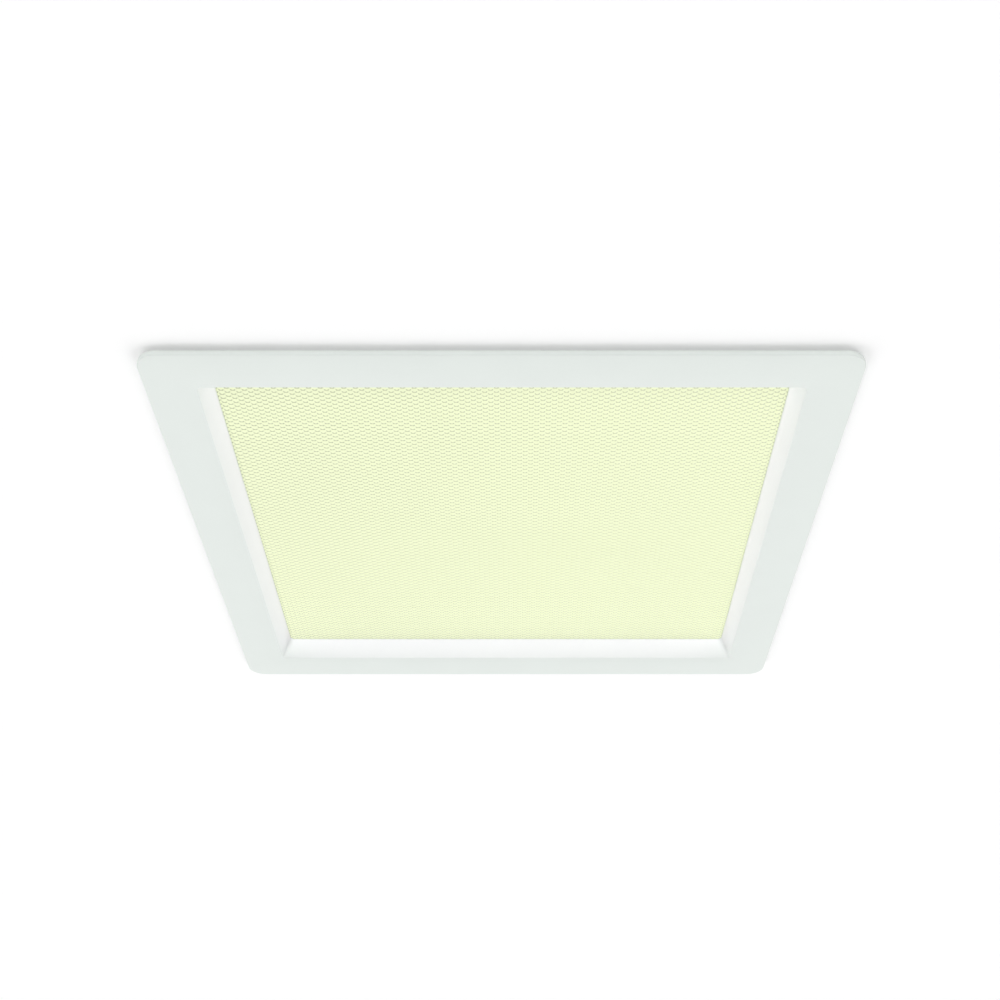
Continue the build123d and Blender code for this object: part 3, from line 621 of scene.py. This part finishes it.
def channel_blocks(shape):
    """Four ribs a side, and the six bosses that take the housing's screws."""

    def across(x, y, half_x, half_y, top):
        box_in(shape, (x - half_x, y - half_y, flange_top_z), (x + half_x, y + half_y, top))

    for along in (-81.0, -27.0, 27.0, 81.0):
        for side in (-channel_mid, channel_mid):
            across(along, side, rib_half, channel_half, rib_z)
            across(side, along, channel_half, rib_half, rib_z)
    for x in (-boss_from_middle, boss_from_middle):
        for y in (-channel_mid, channel_mid):
            across(x, y, boss_half, channel_half, skirt_z)
    for x in (-channel_mid, channel_mid):
        across(x, 0, channel_half, boss_half, skirt_z)


def build_trim(shape):
    ring_stack(shape, trim_profile(), 14)
    channel_blocks(shape)


trim_mesh = smooth_by_angle(mesh_from("trim", build_trim), 28)
new_piece("trim", trim_mesh, "trim_white", "root", "trim_frame")
print("trim triangles", triangles(trim_mesh))

# %% [markdown]
# ## The lens and its honeycomb of domes
# The panel's skin is moulded with thousands of small domes, packed like a honeycomb, a
# little over 3 mm apart. One flat plane with a bump map would show no outline at the grooves,
# so each dome is real: 12 faces that follow a shallow cap. Geometry Nodes lay out the
# centres, put a cell on each, and set every point's height from its distance to its centre.
# At the border the cells are cut off straight, as the tool's edge does it.

# %% Geometry Nodes helpers
def new_group(name, sizes):
    """A tree with named number inputs, and its way in and out."""
    tree = bpy.data.node_groups.new(name, "GeometryNodeTree")
    tree.interface.new_socket(name="Geometry", in_out="INPUT", socket_type="NodeSocketGeometry")
    for label in sizes:
        tree.interface.new_socket(name=label, in_out="INPUT", socket_type="NodeSocketFloat")
    tree.interface.new_socket(name="Geometry", in_out="OUTPUT", socket_type="NodeSocketGeometry")
    graph = Graph(tree)
    entry = tree.nodes.new("NodeGroupInput")
    wires = {label: Wire(graph, entry.outputs[label]) for label in ["Geometry", *sizes]}
    return graph, wires


def end_group(graph, shape, finish):
    """Realised, with its finish set, as the export needs it."""
    whole = graph.add("GeometryNodeRealizeInstances", None, {"Geometry": shape})
    dressed = graph.add("GeometryNodeSetMaterial", None, {
        "Geometry": whole, "Material": finishes[finish],
    })
    graph.add("NodeGroupOutput", None, {"Geometry": dressed})


def grown(name, points, graph, sizes):
    """Run a tree on a cloud of points, in mm, and hand back the plain mesh."""
    mesh = bpy.data.meshes.new(name)
    mesh.from_pydata([tuple(MM * c for c in point) for point in points], [], [])
    seed = stand_in(name + "_seed", mesh)
    modifier = seed.modifiers.new("nodes", "NODES")
    modifier.node_group = graph.tree
    for item in graph.tree.interface.items_tree:
        if item.in_out == "INPUT" and item.name in sizes:
            modifier[item.identifier] = float(sizes[item.name])
    return plain_mesh(name, seed)


# %% Domes
def dome_group():
    sizes = ["Pitch", "Half side", "Rise", "Groove height", "Columns", "Rows"]
    graph, size = new_group("domes", sizes)
    pitch, half = size["Pitch"], size["Half side"]
    wide = pitch * math.sqrt(3)
    lattice = graph.tree.nodes.new("GeometryNodeJoinGeometry")
    for more in (0.0, 1.0):
        columns = size["Columns"] + more
        rows = size["Rows"] + more
        grid = graph.add("GeometryNodeMeshGrid", None, {
            "Size X": wide * (columns - 1), "Size Y": pitch * (rows - 1),
            "Vertices X": columns, "Vertices Y": rows,
        })
        graph.join(lattice.inputs[0], grid)
    x, y, _ = graph.parts(graph.add("GeometryNodeInputPosition"))
    outside = (half + pitch * 0.45).below(x.size().at_least(y.size()))
    centres = graph.add("GeometryNodeDeleteGeometry", {"domain": "POINT"}, {
        "Geometry": Wire(graph, lattice.outputs[0]), "Selection": outside,
    })
    named = graph.add("GeometryNodeStoreNamedAttribute", {"data_type": "FLOAT_VECTOR"}, {
        "Geometry": centres, "Name": "centre", "Value": graph.add("GeometryNodeInputPosition"),
    })
    cell = graph.add("GeometryNodeMeshCone", {"fill_type": "NONE"}, {
        "Vertices": 6, "Side Segments": 2, "Radius Top": 0.0,
        "Radius Bottom": pitch / math.sqrt(3), "Depth": 0.0,
    })
    laid = graph.add("GeometryNodeInstanceOnPoints", None, {"Points": named, "Instance": cell})
    flat = graph.add("GeometryNodeRealizeInstances", None, {"Geometry": laid})
    centre = graph.add(
        "GeometryNodeInputNamedAttribute", {"data_type": "FLOAT_VECTOR"}, {"Name": "centre"},
    )
    cx, cy, _ = graph.parts(centre)
    cut_x = x.at_most(half).at_least(half * -1)
    cut_y = y.at_most(half).at_least(half * -1)
    dx, dy = cut_x - cx, cut_y - cy
    share = (dx * dx + dy * dy) / (pitch * pitch / 3)
    height = size["Groove height"] - size["Rise"] * (1 - share).at_least(0)
    spot = graph.add("ShaderNodeCombineXYZ", None, {"X": cut_x, "Y": cut_y, "Z": height})
    domed = graph.add("GeometryNodeSetPosition", None, {"Geometry": flat, "Position": spot})
    merged = graph.add("GeometryNodeMergeByDistance", None, {
        "Geometry": domed, "Distance": 0.004 * MM,
    })
    end_group(graph, merged, "lens_acrylic")
    return graph


relief_half = 128.58        # just inside the sill
dome_rise = 0.4
groove_z = 7.033
relief_root_z = 7.6         # the relief's sides end inside the plate

dome_mesh = grown("domes", [(0, 0, 0)], dome_group(), {
    "Pitch": dome_pitch, "Half side": relief_half * MM, "Rise": dome_rise * MM,
    "Groove height": groove_z * MM, "Columns": 51, "Rows": 87,
})
up = sum(face.normal.z * face.area for face in dome_mesh.polygons)
if up > 0:
    dome_mesh.flip_normals()


def build_lens(shape):
    shape.from_mesh(dome_mesh)
    border = [edge for edge in shape.edges if edge.is_boundary]
    raised = bmesh.ops.extrude_edge_only(shape, edges=border)["geom"]
    for vert in raised:
        if isinstance(vert, bmesh.types.BMVert):
            vert.co.z = relief_root_z * MM


lens_mesh = smooth_by_angle(mesh_from("lens_relief", build_lens, closed=False), 42)
new_piece("lens_relief", lens_mesh, "lens_acrylic", "root")
print("domes", triangles(lens_mesh), "triangles")


plate_half, plate_corner, plate_fillet = 131.4, 3.2, 0.2
plate_top_z = 10.5
point_half, point_corner = 0.01, 0.005      # a ring so small that it closes a face


def build_plate(shape):
    half, corner = plate_half - plate_fillet, plate_corner - plate_fillet
    rings = [(point_half, point_corner, ledge_z)]
    rings += arc(half, corner, ledge_z + plate_fillet, plate_fillet, 270, 360, 2)
    rings += arc(half, corner, plate_top_z - plate_fillet, plate_fillet, 0, 90, 2)
    rings += [(point_half, point_corner, plate_top_z)]
    ring_stack(shape, rings, 8)


plate_mesh = smooth_by_angle(mesh_from("lens_sheet", build_plate))
new_piece("lens_sheet", plate_mesh, "lens_acrylic", "root", "lens_plate")

# %% [markdown]
# ## The gasket
# A strip of closed-cell foam keeps dust off the joint between flange and ceiling. Its free
# edges bulge a little where the flange presses on it, so its profile is a rounded bar, set
# a little in from the flange's edge.

# %% Gasket
foam_out, foam_out_corner, foam_in, foam_in_corner = 153.5, 7.0, 148.5, 2.0
foam_low, foam_mid, foam_high = -0.98, -0.5, -0.02
foam_bulge, foam_bevel = 0.45, 0.3


def build_gasket(shape):
    bulge = arc(
        foam_out - foam_bulge, foam_out_corner - foam_bulge, foam_mid, foam_bulge, -80, 80, 4,
    )
    rings = []
    for half, radius, z in bulge:
        z = foam_mid + (z - foam_mid) * 1.06
        rings.append((half, radius, max(foam_low, min(foam_high, z))))
    rings += [
        (foam_in + foam_bevel, foam_in_corner + foam_bevel, foam_high),
        (foam_in, foam_in_corner, -0.3),
        (foam_in, foam_in_corner, -0.7),
        (foam_in + foam_bevel, foam_in_corner + foam_bevel, foam_low),
    ]
    ring_stack(shape, rings, 10)


gasket_mesh = smooth_by_angle(mesh_from("gasket", build_gasket), 50)
gasket = new_piece("gasket", gasket_mesh, "gasket_foam", "root", "ceiling_gasket")
print("gasket", [round(1000 * c, 1) for c in gasket.dimensions])

# %% [markdown]
# ## Softened solids
# Sheet that is bent, plastic that is moulded and rubber that is cast have no knife edges. A
# solid whose form is right is copied, its loose triangles are merged and its flat faces
# joined, and a Bevel modifier rounds every edge that turns.

# %% A softened copy of a solid
def softened(name, node, width, turn=30):
    """Copy a node with edges that turn more than so many degrees rounded by so many mm."""
    shape = bmesh.new()
    shape.from_mesh(nodes[node].data)
    bmesh.ops.remove_doubles(shape, verts=shape.verts, dist=0.003 * MM)
    bmesh.ops.dissolve_limit(
        shape, angle_limit=math.radians(1.5), verts=shape.verts, edges=shape.edges,
        use_dissolve_boundaries=False, delimit=set(),
    )
    crisp = bpy.data.meshes.new(name + "_crisp")
    shape.to_mesh(crisp)
    shape.free()
    stand = stand_in(name + "_crisp", crisp)
    bevel = stand.modifiers.new("round", "BEVEL")
    bevel.width = width * MM
    bevel.segments = 2
    bevel.limit_method = "ANGLE"
    bevel.angle_limit = math.radians(turn)
    mesh = smooth_by_angle(plain_mesh(name, stand), turn + 10)
    new_piece(name, mesh, slot_of[node], body_of[node], node)


softened("housing_shell", "back_housing", 0.3)
softened("driver_box", "driver_tray", 0.22)
softened("driver_hood", "driver_cover", 0.25)
softened("terminal_body", "terminal_block", 0.3)
softened("saddle_moulding", "cable_saddle", 0.5)
softened("clamp_moulding", "cable_clamp", 0.5)
softened("lid_moulding", "terminal_lid", 0.35)
softened("grommet_ring", "cable_grommet", 0.35)
softened("white_tray", "reflector_tray", 0.2)
for key in ("line", "neutral", "earth"):
    softened(f"key_{key}", f"release_button_{key}", 0.25)
for number in range(1, 5):
    softened(f"bracket_{number}", f"clip_bracket_{number}", 0.25)
    softened(f"arm_{number}", f"clip_arm_{number}", 0.25)
    softened(f"foot_{number}", f"clip_foot_{number}", 0.5, turn=50)
print("softened", len([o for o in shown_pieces() if "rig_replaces" in o]))

# %% [markdown]
# ## Heat sink
# The sink is cut from one long extrusion: a flat base and twenty fins that thin out towards
# rounded tips. What repeats along a line is a job for Geometry Nodes: one fin is shaped
# from a block, tapered by its height, and put on each point of a line.

# %% Fins by Geometry Nodes
def fin_group():
    sizes = ["Count", "Pitch", "Length", "Height", "Root", "Tip", "Base height"]
    graph, size = new_group("fins", sizes)
    blade = graph.add("GeometryNodeMeshCube", None, {
        "Size": graph.add("ShaderNodeCombineXYZ", None, {
            "X": size["Root"], "Y": size["Length"], "Z": size["Height"] - size["Tip"] / 2,
        }),
        "Vertices X": 2, "Vertices Y": 2, "Vertices Z": 8,
    })
    x, y, z = graph.parts(graph.add("GeometryNodeInputPosition"))
    share = z / (size["Height"] - size["Tip"] / 2) + 0.5
    flare = (1 - share * 9.0).at_least(0) * (1 - share * 9.0).at_least(0)
    slim = 1 - share * (1 - size["Tip"] / size["Root"]) + flare * 0.5
    shaped = graph.add("GeometryNodeSetPosition", None, {
        "Geometry": blade,
        "Position": graph.add("ShaderNodeCombineXYZ", None, {"X": x * slim, "Y": y, "Z": z}),
    })
    tip = graph.add("GeometryNodeMeshCylinder", None, {
        "Vertices": 12, "Radius": size["Tip"] / 2, "Depth": size["Length"],
    })
    turned = graph.add("GeometryNodeTransform", None, {
        "Geometry": tip, "Rotation": (math.pi / 2, 0, 0),
        "Translation": graph.add("ShaderNodeCombineXYZ", None, {
            "Z": size["Height"] / 2 - size["Tip"] / 4,
        }),
    })
    fin = graph.tree.nodes.new("GeometryNodeJoinGeometry")
    graph.join(fin.inputs[0], shaped)
    graph.join(fin.inputs[0], turned)
    line = graph.add("GeometryNodeMeshLine", None, {
        "Count": size["Count"],
        "Start Location": graph.add("ShaderNodeCombineXYZ", None, {
            "Z": size["Base height"] + size["Height"] / 2 - size["Tip"] / 4,
        }),
        "Offset": graph.add("ShaderNodeCombineXYZ", None, {"X": size["Pitch"]}),
    })
    row = graph.add("GeometryNodeInstanceOnPoints", None, {
        "Points": line, "Instance": Wire(graph, fin.outputs[0]),
    })
    end_group(graph, row, "sink_aluminium")
    return graph


_, sink_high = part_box("heat_sink")
sink_left, sink_right, sink_half_l = -122, 34, 118
base_low_z, base_top_z = 53.4, 56.4
first_fin_x, fin_height = -120, 23.6

fin_mesh = grown("fins", [(0, 0, 0)], fin_group(), {
    "Count": 20, "Pitch": 8 * MM, "Length": 2 * sink_half_l * MM, "Height": fin_height * MM,
    "Root": 2 * MM, "Tip": 1.2 * MM, "Base height": base_top_z * MM,
})
fin_mesh.transform(Matrix.Translation((first_fin_x * MM, 0, 0)))


def build_sink(shape):
    shape.from_mesh(fin_mesh)
    low = (sink_left, -sink_half_l, base_low_z)
    box_in(shape, low, (sink_right, sink_half_l, base_top_z))


sink_mesh = smooth_by_angle(mesh_from("sink", build_sink), 35)
new_piece("sink", sink_mesh, "sink_aluminium", "root", "heat_sink")
print("sink", triangles(sink_mesh), "top", round(1000 * sink_high.z, 1))

# %% [markdown]
# ## Screws and rivets
# Small hexagon screws with a washer face hold the housing, the sink, the tray and the cover.
# They are all alike, so one tree makes them: a six-sided head with its chamfered crown, the
# washer face under it and a shank, instanced on a cloud of places.

# %% Screws by Geometry Nodes
fixing_sizes = ["Head radius", "Head height", "Shank radius", "Length", "Turn"]


def screw_group():
    graph, size = new_group("screws", fixing_sizes)
    across = size["Head radius"] * math.cos(math.pi / 6)
    parts = graph.tree.nodes.new("GeometryNodeJoinGeometry")

    def bar(corners, radius, top_radius, low, high, turn=0.0):
        cone = graph.add("GeometryNodeMeshCone", {"fill_type": "NGON"}, {
            "Vertices": corners, "Radius Bottom": radius, "Radius Top": top_radius,
            "Depth": high - low,
        })
        placed = graph.add("GeometryNodeTransform", None, {
            "Geometry": cone, "Rotation": (0, 0, turn),
            "Translation": graph.add("ShaderNodeCombineXYZ", None, {"Z": low}),
        })
        graph.join(parts.inputs[0], placed)

    height = size["Head height"]
    washer_top, crown = height * 0.2, height * 0.84
    bar(6, size["Head radius"], size["Head radius"], washer_top, crown, math.pi / 6)
    bar(24, across, across * 0.86, crown, height * 1.0)
    bar(28, size["Head radius"] * 0.99, size["Head radius"] * 0.97, height * 0.0, washer_top)
    bar(16, size["Shank radius"], size["Shank radius"], size["Length"] * -1, washer_top)
    laid = graph.add("GeometryNodeInstanceOnPoints", None, {
        "Points": size["Geometry"], "Instance": Wire(graph, parts.outputs[0]),
        "Rotation": graph.add("ShaderNodeCombineXYZ", None, {"Y": size["Turn"]}),
    })
    end_group(graph, laid, "screw_steel")
    return graph


screw_tree = screw_group()


def screw_set(name, node, runs, length):
    """Screws at some places, in mm, for each turn about Y, standing for one node."""

    def build(shape):
        for turn, places in runs:
            shape.from_mesh(grown(name, places, screw_tree, {
                "Head radius": 3.0 * MM, "Head height": 1.9 * MM, "Shank radius": 1.42 * MM,
                "Length": length * MM, "Turn": math.radians(turn),
            }))

    mesh = smooth_by_angle(mesh_from(name, build, closed=False), 30)
    new_piece(name, mesh, "screw_steel", "root", node)
    print(name, sum(len(places) for _, places in runs), "screws")


housing_flange_z = 17.2     # upper face of the housing's flange, on the trim's bosses
tray_floor_z = 54.4
clamp_z = 72.5              # top of the clamp bar
hood_left, hood_right = 45.1, 124.9

screw_set("housing_screws", "frame_screws", [(0, [
    (x, y, housing_flange_z)
    for x in (-boss_from_middle, boss_from_middle) for y in (-channel_mid, channel_mid)
] + [(x, 0, housing_flange_z) for x in (-channel_mid, channel_mid)])], 10)
screw_set("sink_fixings", "heat_sink_screws", [(0, [
    (x, y, base_top_z) for x in (-108, 20) for y in (-100, 100)
])], 4)
screw_set("tray_fixings", "tray_screws", [(0, [
    (52, 112, tray_floor_z), (118, -112, tray_floor_z),
])], 2)
screw_set("earth_fixing", "earth_screw", [(0, [(56, -106, tray_floor_z)])], 1)
cover_y = (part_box("cover_screws")[0].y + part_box("cover_screws")[1].y) / 2 / MM
screw_set("hood_fixings", "cover_screws", [
    (90, [(hood_right, cover_y, 60)]), (-90, [(hood_left, cover_y, 60)]),
], 4)
screw_set("clamp_fixings", "clamp_screws", [(0, [(x, -103, clamp_z) for x in (74.5, 95.5)])], 14)

# %% Rivets by Geometry Nodes
def rivet_group():
    graph, size = new_group("rivets", fixing_sizes)
    dome = graph.add("GeometryNodeMeshUVSphere", None, {
        "Segments": 20, "Rings": 12, "Radius": 1.0,
    })
    _, _, z = graph.parts(graph.add("GeometryNodeInputPosition"))
    cap = graph.add("GeometryNodeTransform", None, {
        "Geometry": dome, "Scale": graph.add("ShaderNodeCombineXYZ", None, {
            "X": size["Head radius"], "Y": size["Head radius"], "Z": size["Head height"],
        }),
    })
    shank = graph.add("GeometryNodeMeshCylinder", None, {
        "Vertices": 14, "Radius": size["Shank radius"], "Depth": size["Length"],
    })
    lowered = graph.add("GeometryNodeTransform", None, {
        "Geometry": shank,
        "Translation": graph.add("ShaderNodeCombineXYZ", None, {"Z": size["Length"] * -0.5}),
    })
    whole = graph.tree.nodes.new("GeometryNodeJoinGeometry")
    graph.join(whole.inputs[0], cap)
    graph.join(whole.inputs[0], lowered)
    laid = graph.add("GeometryNodeInstanceOnPoints", None, {
        "Points": size["Geometry"], "Instance": Wire(graph, whole.outputs[0]),
        "Rotation": graph.add("ShaderNodeCombineXYZ", None, {"Y": size["Turn"]}),
    })
    end_group(graph, laid, "rivet_steel")
    return graph


rivet_tree = rivet_group()
rivet_x, rivet_z = 134.3, 48.6
pivot_x, pivot_y, pivot_z = 141, 85, 36     # middle of each clip's pin


def build_rivets(shape):
    for side in (1, -1):
        places = [(side * rivet_x, y, rivet_z) for y in (-pivot_y, pivot_y)]
        shape.from_mesh(grown("rivets", places, rivet_tree, {
            "Head radius": 2.35 * MM, "Head height": 0.85 * MM, "Shank radius": 1.2 * MM,
            "Length": 3.2 * MM, "Turn": math.radians(90 * side),
        }))


rivet_mesh = smooth_by_angle(mesh_from("bracket_rivets", build_rivets, closed=False), 30)
new_piece("bracket_rivets", rivet_mesh, "rivet_steel", "root", "clip_rivets")
print("rivets", triangles(rivet_mesh))

# %% [markdown]
# ## Torsion springs
# The spring is one length of round wire: a short leg behind the bracket's foot, almost four
# turns round the pin, and a long leg that lies along the arm. A curve with a round bevel
# follows the wire's centre line, and becomes a mesh.

# %% Springs
coil_radius, coil_pitch, wire_radius = 2.75, 1.5, 0.58
coil_start_y = 4.6
foot_x, foot_z = -6.1, -9.8                 # end of the short leg, from the pin
long_leg = 18
runs_per_turn = 28


def wire_path(rest):
    """Centre line of the spring in the clip's own frame, in mm: X out, Y along the pin, Z up."""
    start = math.atan2(foot_z, foot_x) + math.acos(coil_radius / math.hypot(foot_x, foot_z))
    sweep = (rest - math.pi / 2 - start) % math.tau + 3 * math.tau
    line = [(foot_x, coil_start_y, foot_z)]
    runs = int(sweep / math.tau * runs_per_turn)
    for i in range(runs + 1):
        done = sweep * i / runs
        line.append((
            coil_radius * math.cos(start + done),
            coil_start_y - coil_pitch * done / math.tau,
            coil_radius * math.sin(start + done),
        ))
    x, y, z = line[-1]
    line.append((x + long_leg * math.cos(rest), y, z + long_leg * math.sin(rest)))
    return line


def wire_mesh(name, line, radius):
    curve = bpy.data.curves.new(name, "CURVE")
    curve.dimensions = "3D"
    curve.bevel_depth = radius * MM
    curve.bevel_resolution = 3
    curve.use_fill_caps = True
    spline = curve.splines.new("POLY")
    spline.points.add(len(line) - 1)
    for point, spot in zip(spline.points, line):
        point.co = (*[MM * c for c in spot], 1.0)
    return plain_mesh(name, stand_in(name, curve))


arm_rest = math.radians(-36.18)              # the arm on its stop, at the thinnest ceiling
clips = [(1, 1), (1, -1), (-1, 1), (-1, -1)]
for number, (side, end) in enumerate(clips, 1):
    pivot = Vector((side * pivot_x, end * pivot_y, pivot_z)) * MM
    spring_mesh = wire_mesh(f"spring_{number}", wire_path(arm_rest), wire_radius)
    spring_mesh.transform(Matrix.Translation(pivot) @ Matrix.Diagonal((side, side, 1, 1)))
    smooth_by_angle(spring_mesh, 60)
    spring = new_piece(f"spring_{number}", spring_mesh, "spring_steel", None)
    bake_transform(spring)
    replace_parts(spring, f"clip_spring_{number}")
print("spring wire", triangles(spring_mesh), "triangles each")

# %% [markdown]
# ## Pins
# A pivot pin is a turned pin whose ends are chamfered so that it can be pushed home. Round
# stock is a stack of circles, in the direction of its axis.

# %% Pins
pin_sides = 32


def pin_mesh(name, centre, axis, half, radius, bevel):
    """A round pin along X or Y, chamfered at both ends, in mm."""
    stations = [
        (-half, radius - bevel), (-half + bevel, radius),
        (half - bevel, radius), (half, radius - bevel),
    ]

    def build(shape):
        rows = []
        for along, r in stations:
            row = []
            for i in range(pin_sides):
                turn = math.tau * i / pin_sides
                a, b = r * math.cos(turn), r * math.sin(turn)
                spot = (along, a, b) if axis == "X" else (a, along, b)
                row.append(shape.verts.new([MM * (c + s) for c, s in zip(centre, spot)]))
            rows.append(row)
        for low, high in zip(rows, rows[1:]):
            for i in range(pin_sides):
                j = (i + 1) % pin_sides
                shape.faces.new((low[i], low[j], high[j], high[i]))
        shape.faces.new(rows[0])
        shape.faces.new(rows[-1])

    return smooth_by_angle(mesh_from(name, build), 30)


for number, (side, end) in enumerate(clips, 1):
    centre = (side * pivot_x, end * pivot_y, pivot_z)
    pin = pin_mesh(f"pivot_{number}", centre, "Y", 10.2, 1.5, 0.3)
    new_piece(f"pivot_{number}", pin, "pin_steel", "root", f"clip_pin_{number}")
low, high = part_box("lid_pin")
middle = [c / MM / 2 for c in low + high]
hinge = pin_mesh("lid_hinge_pin", middle, "X", (high.x - low.x) / MM / 2, 1.25, 0.25)
new_piece("lid_hinge_pin", hinge, "pin_steel", body_of["lid_pin"], "lid_pin")
print("pins", len(clips) + 1)

# %% [markdown]
# ## What stays as the model made it
# The boards, the film, the electronics and a few small parts have the right form already.
# They keep their solids and take their finish by the name of their slot in the record.

# %% Finishes for the solids that stay
kept = []
for name, obj in nodes.items():
    finish = finishes[slot_of[name]]
    if not obj.material_slots:
        obj.data.materials.append(finish)
    for slot in obj.material_slots:
        slot.material = finish
    if not obj.hide_render:
        kept.append(name)
print("kept", len(kept), kept)

# %% [markdown]
# ## Ceiling, light and background
# The ceiling is a white sheet at z = 0 that catches the trim's shadow. Seen from above, in
# the void, it would hide the trim, so its back lets the camera through. Light comes from a
# white world and from three large soft lamps below the ceiling. Two stand beyond the far side,
# to the left and right, and throw the shadows on the near side and along both sides. One stands
# on the near side and lights the trim's near edge and the far side of the reveal.
# Metal and glass see the world as white, and these lamps show in no reflection. A fourth lamp
# lights the void, a faint one beside it shows only as a sheen on the metal there, and one at
# the lens spreads its glow.

# %% Ceiling
cutout_half, sheet_half = 147.5 * MM, 4.0


def build_ceiling(shape):
    """A wide sheet with the square cut-out that the luminaire hangs in."""
    rows = [
        [shape.verts.new((half * x, half * y, 0)) for x, y in ((-1, -1), (-1, 1), (1, 1), (1, -1))]
        for half in (cutout_half, sheet_half)
    ]
    for i in range(4):
        j = (i + 1) % 4
        shape.faces.new((rows[0][i], rows[0][j], rows[1][j], rows[1][i]))


ceiling_mesh = mesh_from("ceiling", build_ceiling, closed=False)
ceiling = bpy.data.objects.new("ceiling", ceiling_mesh)
bpy.context.collection.objects.link(ceiling)
ceiling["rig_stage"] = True

plaster = start_finish("plaster")
back = plaster.tree.nodes.new("ShaderNodeNewGeometry")
above = Wire(plaster, back.outputs["Backfacing"])
path = plaster.tree.nodes.new("ShaderNodeLightPath")
seen = Wire(plaster, path.outputs["Is Camera Ray"])
grain = noise(plaster, place_on_object(plaster), 300.0, 3.0)
tone = plaster.blend((0.91, 0.91, 0.91), (0.93, 0.93, 0.93), grain)
backdrop_white = (1.055, 1.055, 1.055)      # to the camera only, so that the background is white
matt = plaster.add("ShaderNodeBsdfDiffuse", None, {
    "Color": plaster.blend(tone, backdrop_white, seen),
})
clear = plaster.add("ShaderNodeBsdfTransparent")
mixed = plaster.add("ShaderNodeMixShader", None, {0: (1 - above) * seen, 1: matt, 2: clear})
plaster.add("ShaderNodeOutputMaterial", None, {"Surface": mixed})
ceiling_mesh.materials.append(finishes["plaster"])

# %% Light
world = bpy.data.worlds.new("room")
bpy.context.scene.world = world
world.use_nodes = True
sky = Graph(world.node_tree)
ray = sky.tree.nodes.new("ShaderNodeLightPath")
shown = Wire(sky, ray.outputs["Is Camera Ray"])
for label in ("Is Glossy Ray", "Is Transmission Ray"):
    shown = shown.at_least(Wire(sky, ray.outputs[label]))
room_light = 0.15           # what the world gives to matt surfaces; to the eye it is 1
room = sky.add("ShaderNodeBackground", None, {
    "Color": (1, 1, 1, 1), "Strength": room_light + shown * (1 - room_light),
})
sky.add("ShaderNodeOutputWorld", None, {"Surface": room})


def soft_sun(name, azimuth, elevation, spread, strength, sheen=False):
    """Even light from one side of the scene, or only the sheen that it leaves, in degrees."""
    light = bpy.data.lights.new(name, "SUN")
    light.angle = math.radians(spread)
    light.energy = strength
    obj = bpy.data.objects.new(name, light)
    bpy.context.collection.objects.link(obj)
    a, e = math.radians(azimuth), math.radians(elevation)
    source = Vector((math.sin(a) * math.cos(e), math.cos(a) * math.cos(e), math.sin(e)))
    obj.rotation_euler = source.to_track_quat("Z", "Y").to_euler()
    obj.visible_glossy = sheen
    obj.visible_diffuse = not sheen


soft_sun("far_light_left", -40, -30, 54, 1.63)
soft_sun("far_light_right", 40, -30, 54, 1.63)
soft_sun("near_light", 180, -30, 30, 1.82)
soft_sun("void_light", 215, 48, 40, 2.2)
soft_sun("void_sheen", 215, 48, 60, 0.45, sheen=True)

panel_side, panel_z = 0.2580, 0.0066        # just below the domes
panel_power = 0.175
panel_tint = (1.04, 0.78, 1.22)             # evens out the green that the lens throws on the reveal

panel = bpy.data.lights.new("panel_light", "AREA")
panel.size = panel_side
panel.energy = panel_power
panel.color = panel_tint
panel_light = bpy.data.objects.new("panel_light", panel)
bpy.context.collection.objects.link(panel_light)
panel_light.location = (0, 0, panel_z)
panel_light.visible_camera = False
panel_light.visible_glossy = False
print("lamps", len(bpy.data.lights))

# %% Finish
low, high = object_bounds()
print("visual box in mm", [round(1000 * (b - a), 1) for a, b in zip(low, high)])
